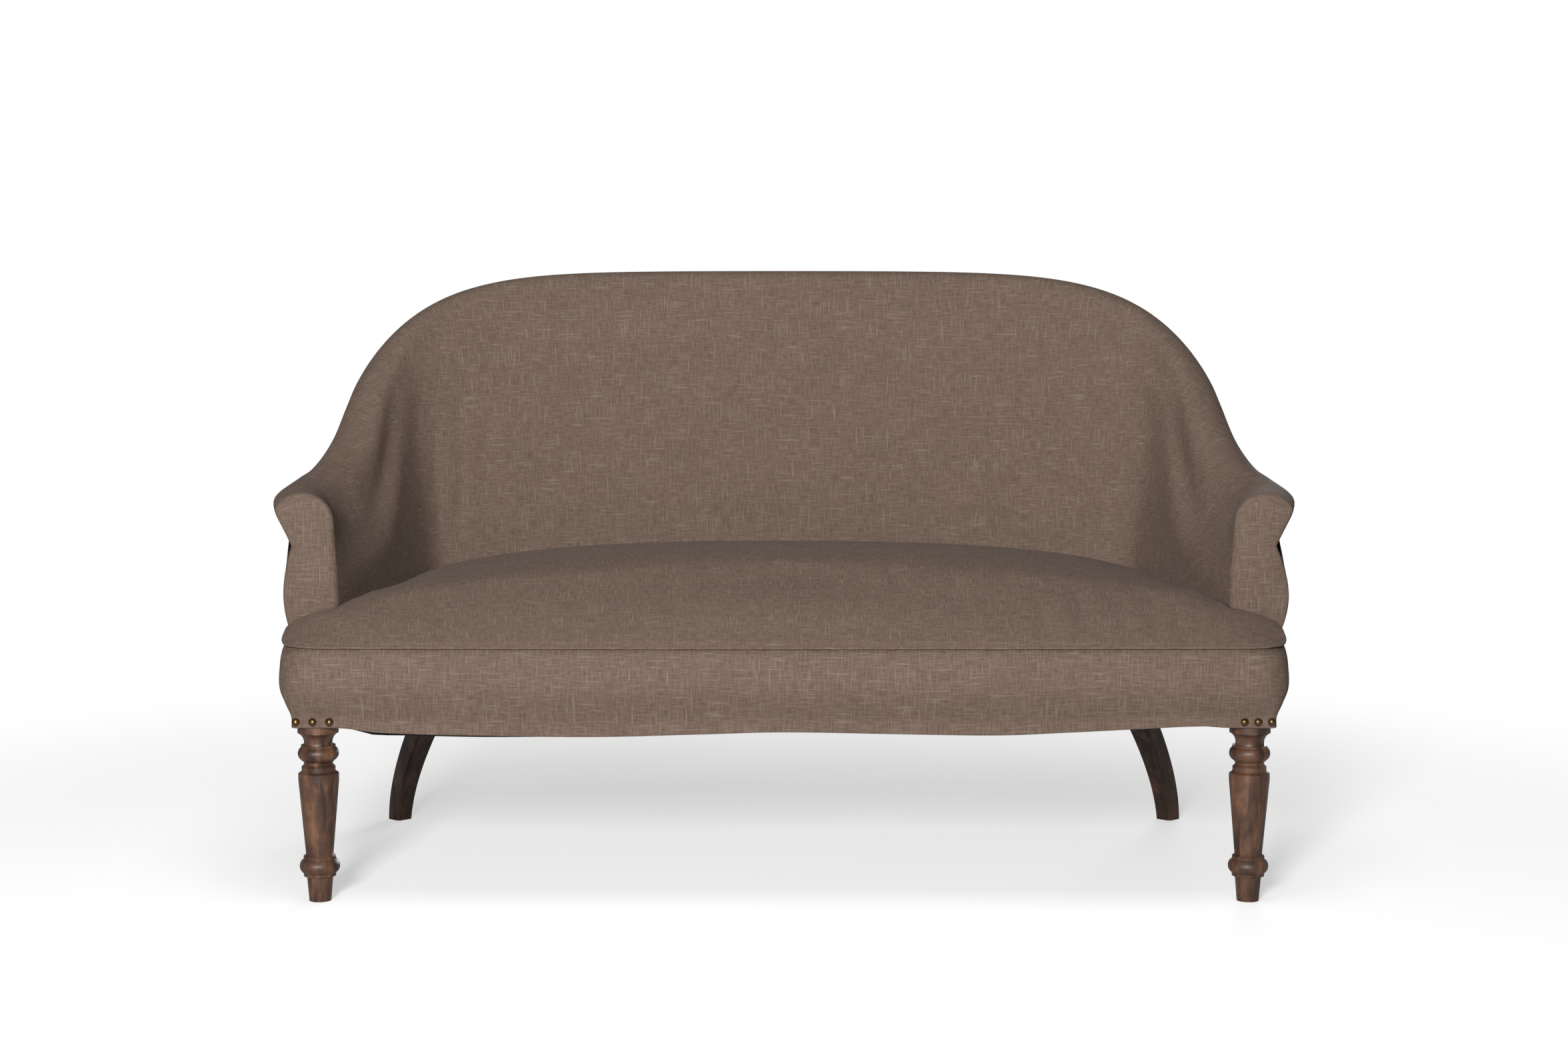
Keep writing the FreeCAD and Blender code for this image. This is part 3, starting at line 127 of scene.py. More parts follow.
def stained_wood(name, pale, middle, dark, grain_mm, roughness):
    """Stained hardwood: dark pores and streaks that run with Z, from a real grain width."""
    material, tree, shader = new_material(name, roughness, Specular_IOR_Level=0.45)
    place = object_place(tree)
    grain = 1000 / grain_mm
    pores = noise(tree, scaled(tree, place, (grain, grain, grain / 14)), 1.0, 6.0, Roughness=0.65)
    streak = noise(tree, scaled(tree, place, (60, 60, 9)), 1.0, 4.0, Distortion=0.6)
    worn = ranged(tree, noise(tree, place, 38.0, 3.0), 0.42, 0.66)
    deep = ranged(tree, streak, 0.36, 0.62)
    fine = ranged(tree, pores, 0.35, 0.6)
    streaked = blend(tree, deep, dark, blend(tree, worn, middle, pale))
    finish_surface(tree, shader, multiplied(tree, 0.35, streaked, fine), fine, 0.25, 0.0003)
    return material


turned_oak = stained_wood("stained_turned_oak", "#825c42", "#5f4131", "#39261b", 1.2, 0.42)
give(turned_oak, "front_leg_left", "front_leg_right")


# Sabre back legs
# Two square legs that sweep out to the back and to the sides, sawn from plank and bolted
# into the back corners. They carry the same stain, drawn darker here as painted shade for
# the shadow they stand in under the seat.
# A darker copy of the stained oak: painted shade on the rear legs, not a darker stain.
shade_painted_oak = stained_wood("stained_oak_painted_shade", "#6b4c39", "#4c3527", "#2e1f17", 1.4, 0.45)
give(shade_painted_oak, "back_leg_left", "back_leg_right")


# Seat frame and back frame
# Rails, posts, slats, corner blocks and brace of planed beech, doweled and glued, all of
# it under the covers. Beech is pale with short pink flecks.
frame_parts = [
    "front_rail", "side_rail_left", "side_rail_right", "back_rail", "middle_brace",
    "front_corner_block_left", "front_corner_block_right", "back_corner_block_left", "back_corner_block_right",
    "arm_post_left", "arm_post_right", "arm_rail_left", "arm_rail_right", "crest_rail",
    "back_post_left", "back_post_right", "back_slat_left", "back_slat_right",
    "arm_tuck_rail_left", "arm_tuck_rail_right", "back_tuck_rail",
]
beech = stained_wood("planed_beech", "#d9b98f", "#c9a67d", "#b18c66", 2.0, 0.6)
give(beech, *frame_parts)


# Webbing and hessian
# Woven elastic webbing tacked across the rails in both directions, with jute hessian
# laid over it under the foam. The weaves are drawn at their real thread spacing.
def plain_weave(name, thread, gap, pitch_mm, roughness):
    """A plain weave on object coordinates, from the real spacing of its threads."""
    material, tree, shader = new_material(name, roughness, Specular_IOR_Level=0.2)
    place = object_place(tree)
    waves = 1000 / pitch_mm / 6.3
    axes = []
    for turned in ((0, 0, 0), (0, 0, math.pi / 2)):
        laid = scaled(tree, place, (1, 1, 1), Rotation=turned)
        ridge = add(tree, "ShaderNodeTexWave", {}, {"Vector": laid, "Scale": waves, "Distortion": 0.8})
        axes.append(ridge.outputs["Fac"])
    woven = add(tree, "ShaderNodeMath", {"operation": "MULTIPLY"}, {0: axes[0], 1: axes[1]}).outputs[0]
    finish_surface(tree, shader, blend(tree, woven, gap, thread), woven, 0.4, 0.0006)
    return material


elastic = plain_weave("elastic_webbing", "#2c2a29", "#151413", 2.2, 0.8)
give(elastic, "webbing_across", "webbing_lengthways", "back_webbing")
jute = plain_weave("jute_hessian", "#a88658", "#5d4529", 1.8, 0.9)
give(jute, "hessian")


# Leg bolts
# Zinc plated hexagon bolts through the corner blocks into the heads of the legs.
zinc, tree, shader = new_material("zinc_plated_steel", 0.38, Metallic=1.0)
cloudy = noise(tree, object_place(tree), 320.0, 3.0)
finish_surface(tree, shader, blend(tree, cloudy, "#9b9b96", "#bdbcb4"))
give(zinc, "leg_bolts")


# Seat foam
# One block of polyurethane foam cut to the crown of the seat, open cells of about 1 mm.
foam, tree, shader = new_material("polyurethane_foam", 0.95, Specular_IOR_Level=0.1)
cells = add(tree, "ShaderNodeTexVoronoi", {}, {"Vector": object_place(tree), "Scale": 700.0})
finish_surface(tree, shader, blend(tree, cells.outputs["Distance"], "#c9bf9d", "#e2dabf"))
give(foam, "seat_foam")


# Inside back and arms
# One long pad of foam and wadding under linen. It runs from the left arm round the back
# to the right arm, rolls over the top rail and is pulled down to the neck, and at both
# arm fronts the linen is drawn round a soft edge on to the front of the arm.
HALF_WIDTH = 0.685
DEPTH = 0.553
SQUARENESS = 3.35
ARM_FRONT = -0.268
RAIL_TOP = 0.332


def tub_table(steps=720):
    table = [(0.0, HALF_WIDTH, 0.0)]
    for k in range(1, steps + 1):
        c, s = math.cos(math.pi / 2 * k / steps), math.sin(math.pi / 2 * k / steps)
        reach = ((c / HALF_WIDTH) ** SQUARENESS + (s / DEPTH) ** SQUARENESS) ** (-1 / SQUARENESS) if c > 0 else DEPTH
        run, x, y = table[-1]
        table.append((run + math.hypot(reach * c - x, reach * s - y), reach * c, reach * s))
    return table


TABLE = tub_table()
RUNS = [row[0] for row in TABLE]
HALF_RUN = RUNS[-1]


def tub_point(place):
    """Point and outward direction on the outside line; -1 left arm, 0 back, 1 right arm."""
    side = 1 if place >= 0 else -1
    run = (1 - abs(place)) * HALF_RUN
    if run <= 0:
        return side * HALF_WIDTH, ARM_FRONT + run, side, 0.0
    k = min(max(bisect.bisect_left(RUNS, run), 1), len(RUNS) - 1)
    f = (run - RUNS[k - 1]) / (RUNS[k] - RUNS[k - 1])
    x = TABLE[k - 1][1] + (TABLE[k][1] - TABLE[k - 1][1]) * f
    y = TABLE[k - 1][2] + (TABLE[k][2] - TABLE[k - 1][2]) * f
    gx = (max(x, 0) / HALF_WIDTH) ** (SQUARENESS - 1) / HALF_WIDTH
    gy = (y / DEPTH) ** (SQUARENESS - 1) / DEPTH
    size = math.hypot(gx, gy)
    return side * x, ARM_FRONT + y, side * gx / size, gy / size


def rise(place):
    """Share of the sweep from the height of the arm to the height of the back."""
    start, end = math.tanh(-0.38 / 0.145), math.tanh(0.62 / 0.145)
    return (math.tanh((max(0.0, 1 - abs(place)) - 0.38) / 0.145) - start) / (end - start)


def between(place, at_arm, at_back):
    return at_arm + (at_back - at_arm) * rise(place)


def top_height(place):
    return between(place, 0.566, 0.881)


def neck_height(place):
    return top_height(place) - 0.074


# How far the roll stands outside the even sweep, by its share of the way to the back.
FLARE = [
    (0.0, 0.0), (0.05, 0.011), (0.10, 0.020), (0.17, 0.013), (0.21, 0.002), (0.27, -0.008), (0.31, -0.010),
    (0.35, -0.005), (0.38, 0.001), (0.43, 0.006), (0.50, 0.008), (0.60, 0.005), (0.75, 0.001), (1.0, 0.0),
]


def eased(table, at, column=1):
    """A smooth curve through the table's values."""
    k = next((i for i, row in enumerate(table) if row[0] >= at and i), len(table) - 1)
    ends = [(table[min(i + 1, len(table) - 1)], table[max(i - 1, 0)]) for i in (k - 1, k)]
    slopes = [(b[column] - a[column]) / (b[0] - a[0]) for b, a in ends]
    wide = table[k][0] - table[k - 1][0]
    t = min(max((at - table[k - 1][0]) / wide, 0.0), 1.0)
    p, q = slopes[0] * wide, slopes[1] * wide
    step = table[k][column] - table[k - 1][column]
    return table[k - 1][column] + t * p + t * t * (3 * step - 2 * p - q) + t**3 * (p + q - 2 * step)


def smooth_step(value, low, high):
    share = min(max((value - low) / (high - low), 0.0), 1.0)
    return share * share * (3 - 2 * share)


def neck_out(place):
    return between(place, 0.010, 0.086) + eased(FLARE, 1 - abs(place))


def outer_out(place, z):
    share = (z - RAIL_TOP) / (neck_height(place) - RAIL_TOP)
    if share <= 0:
        return 0.0
    swell = between(place, 0.018 if place < 0 else 0.024, 0.004) * math.sin(math.pi * min(share, 1))
    return neck_out(place) * share**1.2 + swell


ARM_THICK = 0.053
ARM_TAPER = 0.215
BACK_FACE = 0.218
BACK_HOLLOW = 0.50
CORNER_BLEND = 0.012
SEAT_LEVEL = 0.400
PLANS = {}


def inner_plan(place):
    """Inner face at the seat, from the outside line: tapering arms that turn into the back."""
    key = round(abs(place), 7)
    if key not in PLANS:
        x, y, nx, ny = tub_point(key)
        near, far = -0.16, 0.02
        for _ in range(30):
            out = (near + far) / 2
            px, py = x + nx * out, y + ny * out
            beside = px - (HALF_WIDTH - ARM_THICK - ARM_TAPER * (py - ARM_FRONT))
            behind = py - (BACK_FACE - BACK_HOLLOW * px**3)
            round_off = 4 * CORNER_BLEND**2 * smooth_step(py, ARM_FRONT, 0.02)
            inside = beside + behind + math.sqrt((beside - behind) ** 2 + round_off) < 0
            near, far = (out, far) if inside else (near, out)
        PLANS[key] = near
    return PLANS[key]


def inner_out(place, z):
    """Inner face at a height: it leans out, and near the roll it follows the outside line."""
    neck = neck_height(place)
    share = max(0.0, (z - SEAT_LEVEL) / (neck - SEAT_LEVEL))
    eased_in = smooth_step(z, neck - 0.050, neck + 0.040)
    plan = inner_plan(place) * (1 - eased_in) - between(place, ARM_THICK, 0.067) * eased_in
    return between(place, 0.003, 0.090) * share**1.2 + plan


def spaced(first, last, count):
    return [first + (last - first) * k / (count - 1) for k in range(count)]


def arc(a, b, c, count):
    """Points of the circle through three points, from the first to the last."""
    (ax, ay), (bx, by), (cx, cy) = a, b, c
    d = 2 * (ax * (by - cy) + bx * (cy - ay) + cx * (ay - by))
    sa, sb, sc = ax * ax + ay * ay, bx * bx + by * by, cx * cx + cy * cy
    mx = (sa * (by - cy) + sb * (cy - ay) + sc * (ay - by)) / d
    my = (sa * (cx - bx) + sb * (ax - cx) + sc * (bx - ax)) / d
    r = math.hypot(ax - mx, ay - my)
    first, last = math.atan2(ay - my, ax - mx), math.atan2(cy - my, cx - mx)
    if last > first:
        last -= 2 * math.pi
    return [(mx + r * math.cos(t), my + r * math.sin(t)) for t in spaced(first, last, count)]


def resampled(points, count):
    """The same line with evenly spaced points."""
    runs = [0.0]
    for a, b in zip(points, points[1:]):
        runs.append(runs[-1] + math.dist(a, b))
    found, k = [], 1
    for run in spaced(0.0, runs[-1], count):
        while k < len(runs) - 1 and runs[k] < run:
            k += 1
        f = (run - runs[k - 1]) / max(runs[k] - runs[k - 1], 1e-9)
        found.append(tuple(p + (q - p) * f for p, q in zip(points[k - 1], points[k])))
    return found


def softened(points, reach):
    """Rounds the corners of an evenly spaced line; its two ends stay."""
    kept = []
    for k in range(len(points)):
        w = min(reach, k, len(points) - 1 - k)
        near = points[k - w : k + w + 1]
        kept.append(tuple(sum(p[axis] for p in near) / len(near) for axis in (0, 1)))
    return kept


PAD_BOTTOM = 0.338
SAMPLES, SOFTENING = 500, 15
FACE_COUNT, ROLL_COUNT, REAR_COUNT = 42, 36, 44


def inside_path(place):
    """The linen as it shows: up the inside, over the roll and down to the neck."""
    out, neck, top = neck_out(place), neck_height(place), top_height(place)
    face = [(inner_out(place, z), z) for z in spaced(PAD_BOTTOM, neck, 30)]
    tip = (out + between(place, 0.025, 0.014), top - 0.022)
    roll = arc((out - between(place, 0.061, 0.049), top - 0.032), (out - 0.008, top + 0.0016), tip, 24)
    under = [(out + 0.002, neck + 0.006), (out, neck)]
    whole = softened(resampled(face + roll + under, SAMPLES), SOFTENING)
    rising = [k for k in range(SAMPLES) if whole[k][0] < out - 0.020]
    split = min(rising, key=lambda k: abs(whole[k][1] - (top - 0.05)))
    return resampled(whole[: split + 1], FACE_COUNT + 1)[:-1] + resampled(whole[split:], ROLL_COUNT)


def rear_path(place):
    """The side that nobody sees: hooked over the top rail and down behind the webbing."""
    out, neck, top = neck_out(place), neck_height(place), top_height(place)
    low, high = top - 0.0653, top - 0.0297
    rear = [(outer_out(place, z) - 0.039, z) for z in spaced(neck, PAD_BOTTOM, REAR_COUNT - 6)]
    hook = [(out - 0.0005, neck + 0.0003), (out - 0.006, neck + 0.0003), (out - 0.006, low)]
    return [*hook, (out - 0.0017, low), (out - 0.0017, high), (rear[0][0], high), *rear]


def front_path(place):
    """Outer edge of the arm's front from the neck down, and back along the bottom."""
    neck = neck_height(place)
    outer = [(outer_out(place, z), z) for z in spaced(neck, PAD_BOTTOM, REAR_COUNT - 3)]
    return [*outer[1:], (-0.012, PAD_BOTTOM), (-0.024, PAD_BOTTOM), (-0.036, PAD_BOTTOM), (-0.048, PAD_BOTTOM)]


def outward(ring):
    """Directions that point out of a closed outline."""
    count = len(ring)
    found = []
    for k in range(count):
        (ax, az), (bx, bz) = ring[k - 2], ring[(k + 2) % count]
        size = math.hypot(bx - ax, bz - az) or 1.0
        found.append((-(bz - az) / size, (bx - ax) / size))
    return found


def pulled(place, z):
    """Depth of the soft creases where the linen is drawn round the corners of the tub."""
    depth = 0.0
    for at, low, high, wide, deep in CREASES:
        if low < z < high:
            share = math.sin(math.pi * (z - low) / (high - low)) ** 1.2
            off = (place * HALF_RUN - at - 0.10 * (z - low)) / wide
            depth += deep * share * math.exp(-off * off)
    return depth


# Each crease: run from the middle of the back, lowest and highest point, width, depth.
CREASES = [
    (-0.545, 0.44, 0.74, 0.011, 0.0030),
    (-0.590, 0.43, 0.72, 0.013, 0.0026),
    (-0.500, 0.46, 0.70, 0.012, 0.0016),
    (0.560, 0.43, 0.70, 0.014, 0.0016),
]


def cloth_mesh(name, rows, weave, ring=False, caps=()):
    """A mesh from rows of points, with the run of the cloth in metres as its UV map."""
    count = len(rows[0])
    points = [point for row in rows for point in row]
    marks = [mark for row in weave for mark in row]
    faces = list(caps)
    for r in range(len(rows) - 1):
        for c in range(count if ring else count - 1):
            d = (c + 1) % count
            faces.append((r * count + c, r * count + d, (r + 1) * count + d, (r + 1) * count + c))
    mesh = bpy.data.meshes.new(name)
    mesh.from_pydata(points, [], faces)
    layer = mesh.uv_layers.new(name="weave")
    for loop in mesh.loops:
        layer.data[loop.index].uv = marks[loop.vertex_index]
    return mesh


def cloth_piece(name, *meshes):
    """Joins the meshes at their shared edges, turns the faces outwards and shades them smooth."""
    work = bmesh.new()
    for mesh in meshes:
        work.from_mesh(mesh)
        bpy.data.meshes.remove(mesh)
    bmesh.ops.remove_doubles(work, verts=work.verts, dist=0.00005)
    bmesh.ops.recalc_face_normals(work, faces=work.faces)
    made = bpy.data.meshes.new(name)
    work.to_mesh(made)
    work.free()
    for face in made.polygons:
        face.use_smooth = True
    piece = bpy.data.objects.new(name, made)
    bpy.context.scene.collection.objects.link(piece)
    return piece


def arm_ring(side, y, hooked):
    """A ring of the arm near its front, with the edge rounded over towards the front face."""
    place = side * (1 - (y - ARM_FRONT) / HALF_RUN)
    shown = inside_path(place)
    outline = shown + front_path(place)
    normals = outward(outline)
    ring = shown + (rear_path(place) if hooked else front_path(place))
    tip = max(range(len(shown)), key=lambda k: shown[k][0])
    found = []
    for k, (out, z) in enumerate(ring):
        r = min(0.010, 0.005 + 0.3 * math.dist(shown[tip], shown[k])) if k < tip else 0.005
        if k < len(shown) or not hooked:
            deep = min(max(ARM_FRONT + r - y, 0.0), r)
            inset = r - math.sqrt(r * r - deep * deep)
            out, z = out - normals[k][0] * inset, z - normals[k][1] * inset
        found.append(Vector((side * (HALF_WIDTH + out), y, z)))
    return found


def inside_linen():
    rows, weave = [], []
    count = FACE_COUNT + ROLL_COUNT + REAR_COUNT
    depths = [0.0, 0.0004, 0.0014, 0.003, 0.005]
    for side in (-1, 1):
        ends = [arm_ring(side, ARM_FRONT + deep, False) for deep in depths]
        ends += [arm_ring(side, ARM_FRONT + 0.007, False), arm_ring(side, ARM_FRONT + 0.007, True)]
        ends += [arm_ring(side, ARM_FRONT + deep, True) for deep in (0.0085, 0.0105, 0.013)]
        if side < 0:
            rows = ends
            for place in spaced(-1 + 0.016 / HALF_RUN, 1 - 0.016 / HALF_RUN, 350):
                x, y, nx, ny = tub_point(place)
                path = inside_path(place)
                moved = []
                for k, (out, z) in enumerate(path + rear_path(place)):
                    if k < FACE_COUNT:
                        out += pulled(place, z)
                    moved.append(Vector((x + nx * out, y + ny * out, z)))
                rows.append(moved)
        else:
            rows += reversed(ends)
    runs = [0.0]
    for a, b in zip(rows, rows[1:]):
        runs.append(runs[-1] + max((a[k] - b[k]).length for k in (0, FACE_COUNT)))
    for run, row in zip(runs, rows):
        up = [0.0]
        for a, b in zip(row, row[1:]):
            up.append(up[-1] + (a - b).length)
        weave.append([(run, rise_up) for rise_up in up])
    body = cloth_mesh("body", rows, weave, ring=True)
    fronts = []
    for ring in (rows[0], rows[-1]):
        half = count // 2
        ladder, marks = [], []
        for k in range(half):
            a, b = ring[k], ring[count - 1 - k]
            rung = [a.lerp(b, t) for t in spaced(0, 1, 9)]
            for t, point in zip(spaced(0, 1, 9), rung):
                point.y -= 0.0035 * math.sin(math.pi * t) ** 0.7 * min(1.0, (a - b).length / 0.05)
            ladder.append(rung)
            marks.append([(point.x, point.z) for point in rung])
        fronts.append(cloth_mesh("front", ladder, marks))
    return cloth_piece("inside_linen", body, *fronts)


def woven_linen(name, ground, light, dark):
    """Slubby flax linen: uneven threads both ways, drawn at 2.2 mm so that they show."""
    material, tree, shader = new_material(name, 0.88, Specular_IOR_Level=0.10, Sheen_Weight=0.02, Sheen_Roughness=0.5)
    run = add(tree, "ShaderNodeUVMap", {"uv_map": "weave"}).outputs[0]
    thread = 1000 / 2.2
    yarns, slubs = [], []
    for scale in ((thread, thread / 8, 1), (thread / 8, thread, 1)):
        yarns.append(noise(tree, scaled(tree, run, scale), 1.0, 2.0, flat=True, Roughness=0.6))
    for scale in ((thread * 0.8, thread / 20, 1), (thread / 20, thread * 0.8, 1)):
        lump = noise(tree, scaled(tree, run, scale, Location=(3.7, 9.1, 0)), 1.0, 1.0, flat=True)
        slubs.append(ranged(tree, lump, 0.62, 0.90))
    both = add(tree, "ShaderNodeMath", {"operation": "ADD"}, {0: yarns[0], 1: yarns[1]}).outputs[0]
    slub = add(tree, "ShaderNodeMath", {"operation": "MAXIMUM"}, {0: slubs[0], 1: slubs[1]}).outputs[0]
    lit = blend(tree, slub, blend(tree, ranged(tree, both, 0.72, 1.28), dark, ground), light)
    patchy = ranged(tree, noise(tree, run, 14.0, 3.0, flat=True), 0.3, 0.7, 0.97, 1.03)
    finish_surface(tree, shader, multiplied(tree, 1.0, lit, patchy), both, 0.35, 0.0008)
    return material


linen = woven_linen("slubby_linen", "#746358", "#817368", "#605046")
inside = inside_linen()
inside.data.materials.append(linen)
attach(inside, "root")
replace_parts(inside, "inside_back_and_arms", "arm_facing_left", "arm_facing_right")


# Outside arms and outside back
# Three panels of the same linen over thin wadding, slip stitched under the roll and
# stapled under the rails. They meet in upright seams beside the back legs.
LEG_PLACE = 0.524
HEM = 0.249
PANEL_THICK = 0.0057


def outside_panel(name, first, last, across, up=64):
    """A thin padded panel with its four edges turned in."""
    edge = 0.0028
    face, back, weave = [], [], []
    for k in range(across):
        column, inner, marks = [], [], []
        place = first + (last - first) * k / (across - 1)
        neck = neck_height(place) - 0.0006
        bottom = HEM + (0.002 if k in (0, across - 1) else 0.0)
        side_gap = min(k, across - 1 - k) * abs(last - first) * HALF_RUN / (across - 1)
        for j in range(up):
            z = bottom + (neck - bottom) * j / (up - 1)
            end_gap = min(z - bottom, neck - z)
            near = min(side_gap, end_gap)
            turned = edge - math.sqrt(max(edge**2 - max(edge - near, 0.0) ** 2, 0.0))
            x, y, nx, ny = tub_point(place)
            out = outer_out(place, z)
            column.append(Vector((x + nx * (out - turned), y + ny * (out - turned), z)))
            inside_out = out - PANEL_THICK
            inner.append(Vector((x + nx * inside_out, y + ny * inside_out, z)))
            marks.append((place * HALF_RUN, z))
        face.append(column)
        back.append(inner)
        weave.append(marks)
    rim = [*[(k, 0) for k in range(across)], *[(across - 1, j) for j in range(1, up)]]
    rim += [*[(k, up - 1) for k in range(across - 2, -1, -1)], *[(0, j) for j in range(up - 2, -1, -1)]]
    band = [[face[k][j] for k, j in rim], [back[k][j] for k, j in rim]]
    band_marks = [[weave[k][j] for k, j in rim]] * 2
    meshes = [cloth_mesh("face", face, weave), cloth_mesh("back", back, weave), cloth_mesh("band", band, band_marks)]
    panel = cloth_piece(name, *meshes)
    panel.data.materials.append(linen)
    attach(panel, "root")
    return panel


SEAM_GAP = 0.00015 / HALF_RUN
ARM_SEAM = 0.0073 / HALF_RUN
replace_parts(outside_panel("outside_linen_back", -LEG_PLACE, LEG_PLACE, 181), "outside_back")
for side, word in ((-1, "left"), (1, "right")):
    start, end = (1 - ARM_SEAM) * side, (LEG_PLACE + 2 * SEAM_GAP) * side
    panel = outside_panel(f"outside_linen_{word}", start, end, 90)
    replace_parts(panel, f"outside_arm_{word}")


# Seat
# A tight crowned seat: linen with wadding over the foam, tucked down between the arms
# and the back, with an ear in front of each arm. Its front edge is a folded lip.
SEAT_BASE = 0.3643
CROWN = 0.104
CROWN_LINE = -0.050
SEAT_HALF = 0.698
SEAM_CORNER = 0.063
SEAM_FRONT = -0.377
FRONT_BOW = 0.006
SEAM_CLIMB = 0.017


def seam_y(x):
    x = min(abs(x), SEAT_HALF)
    bow = FRONT_BOW * (1 - (x / SEAT_HALF) ** 2)
    corner = SEAT_HALF - SEAM_CORNER
    turn = 0.0 if x <= corner else SEAM_CORNER - math.sqrt(max(SEAM_CORNER**2 - (x - corner) ** 2, 0.0))
    return SEAM_FRONT - bow + turn


def seam_lift(y):
    """How far the seam climbs at the two ends, where it runs back to the arm."""
    return SEAM_CLIMB * smooth_step(y, -0.350, -0.275)


def seat_height(x, y):
    part = min(abs(x) / SEAT_HALF, 1.0)
    across = (1 - part**2.5) ** 0.6
    front = seam_y(x)
    if y < CROWN_LINE:
        share = min(max((y - front) / (CROWN_LINE - front), 0.0), 1.0)
        along = (1 - (1 - share) ** 2.2) ** 0.75
    else:
        along = 1 - 0.25 * ((y - CROWN_LINE) / 0.268) ** 2
    lift = seam_lift(y) * (1 - smooth_step(y, -0.26, -0.12)) * part**3
    sunk = 0.035 * smooth_step(y, -0.262, -0.03) * part**6
    return SEAT_BASE + CROWN * across * along + lift - sunk


def coons(low, high, left, right):
    """A grid inside four lines; low and high run left to right, left and right run upwards."""
    rows = []
    for j in range(len(left)):
        v = j / (len(left) - 1)
        row = []
        for k in range(len(low)):
            u = k / (len(low) - 1)
            point = []
            for axis in (0, 1):
                ruled = (1 - v) * low[k][axis] + v * high[k][axis] + (1 - u) * left[j][axis] + u * right[j][axis]
                corners = (1 - u) * (1 - v) * low[0][axis] + u * (1 - v) * low[-1][axis]
                corners += (1 - u) * v * high[0][axis] + u * v * high[-1][axis]
                point.append(ruled - corners)
            row.append(tuple(point))
        rows.append(row)
    return rows


def seat_mark(point):
    x, y, z = point
    return (x + 0.9 * (0.468 - z) * (x / SEAT_HALF) ** 3, y + 0.9 * z)


EAR, MIDDLE = 14, 180
GAP = 0.0006
INNER_X = HALF_WIDTH - 0.0533 - GAP
CORNER_X = -0.532
LIP = [(0.0022, 0.0005), (0.0034, 0.0018), (0.0030, 0.0032), (0.0, 0.0038), (-0.009, 0.0038)]


def front_part():
    """Plan grid in front of the arms: from the seam back to the line of the arm fronts."""
    corner = (SEAT_HALF - SEAM_CORNER, SEAM_FRONT + SEAM_CORNER)
    turn = []
    for t in spaced(math.radians(38), math.pi / 2, 16):
        turn.append((corner[0] + SEAM_CORNER * math.sin(t), corner[1] - SEAM_CORNER * math.cos(t)))
    edge_right = [*turn, *[(SEAT_HALF, y) for y in spaced(corner[1], ARM_FRONT - GAP, 10)[1:]]]
    edge_right = [(x, max(y, seam_y(x)) if x < SEAT_HALF - 1e-6 else y) for x, y in edge_right]
    edge_left = [(-x, y) for x, y in edge_right]
    start = edge_right[0][0]
    seam = [(x, seam_y(x)) for x in spaced(-start, start, EAR * 2 + MIDDLE + 1)]
    seam[0], seam[-1] = edge_left[0], edge_right[0]
    across = spaced(-SEAT_HALF, -INNER_X, EAR + 1) + spaced(-INNER_X, INNER_X, MIDDLE + 1)[1:]
    across += spaced(INNER_X, SEAT_HALF, EAR + 1)[1:]
    line = [(x, ARM_FRONT - GAP) for x in across]
    return coons(seam, line, edge_left, edge_right), line


def back_part(line):
    """Plan grid between the arms, up to the face of the inside pad."""
    around = []
    for place in spaced(-1, 1, 601):
        x, y, nx, ny = tub_point(place)
        out = inner_out(place, SEAT_LEVEL) - GAP
        around.append((x + nx * out, y + ny * out))
    around[0], around[-1] = line[EAR], line[-1 - EAR]
    cut = min(range(300), key=lambda k: abs(around[k][0] - CORNER_X))
    left = resampled(around[: cut + 1], 60)
    back = resampled(around[cut : 601 - cut], MIDDLE + 1)
    right = [(-x, y) for x, y in left]
    return coons(line[EAR : EAR + MIDDLE + 1], back, left, right), left + back[1:-1] + right[::-1]


def lip_rows(rim):
    """The folded edge that hangs over the top of the border."""
    rows = [rim]
    for out, down in LIP:
        row = []
        for k, point in enumerate(rim):
            a, b = rim[max(k - 1, 0)], rim[min(k + 1, len(rim) - 1)]
            along = Vector((b.x - a.x, b.y - a.y, 0)).normalized()
            row.append(point + Vector((along.y * out, -along.x * out, -down)))
        rows.append(row)
    return rows


def lowered(line, *drops):
    return [[point - Vector((0, 0, down)) for point in line] for down in drops]


def seat_linen():
    front, line = front_part()
    behind, around = back_part(line)
    raised = []
    for rows in (front, behind):
        raised.append([[Vector((x, y, seat_height(x, y))) for x, y in row] for row in rows])
    meshes = [cloth_mesh("top", rows, [[seat_mark(point) for point in row] for row in rows]) for rows in raised]
    front = raised[0]
    rim = [row[0] for row in front[:0:-1]] + front[0] + [row[-1] for row in front[1:]]
    lip = lip_rows(rim)
    meshes.append(cloth_mesh("lip", lip, [[(p.x, p.y + p.z) for p in row] for row in lip]))
    tuck = lowered([Vector((x, y, seat_height(x, y))) for x, y in around], 0.0, 0.008, 0.02)
    meshes.append(cloth_mesh("tuck", tuck, [[seat_mark(p) for p in row] for row in tuck]))
    for part in (front[-1][: EAR + 1], front[-1][-1 - EAR :]):
        strip = lowered(part, 0.0, 0.008, 0.014)
        meshes.append(cloth_mesh("ear", strip, [[(p.x, p.z) for p in row] for row in strip]))
    return cloth_piece("seat_linen", *meshes)


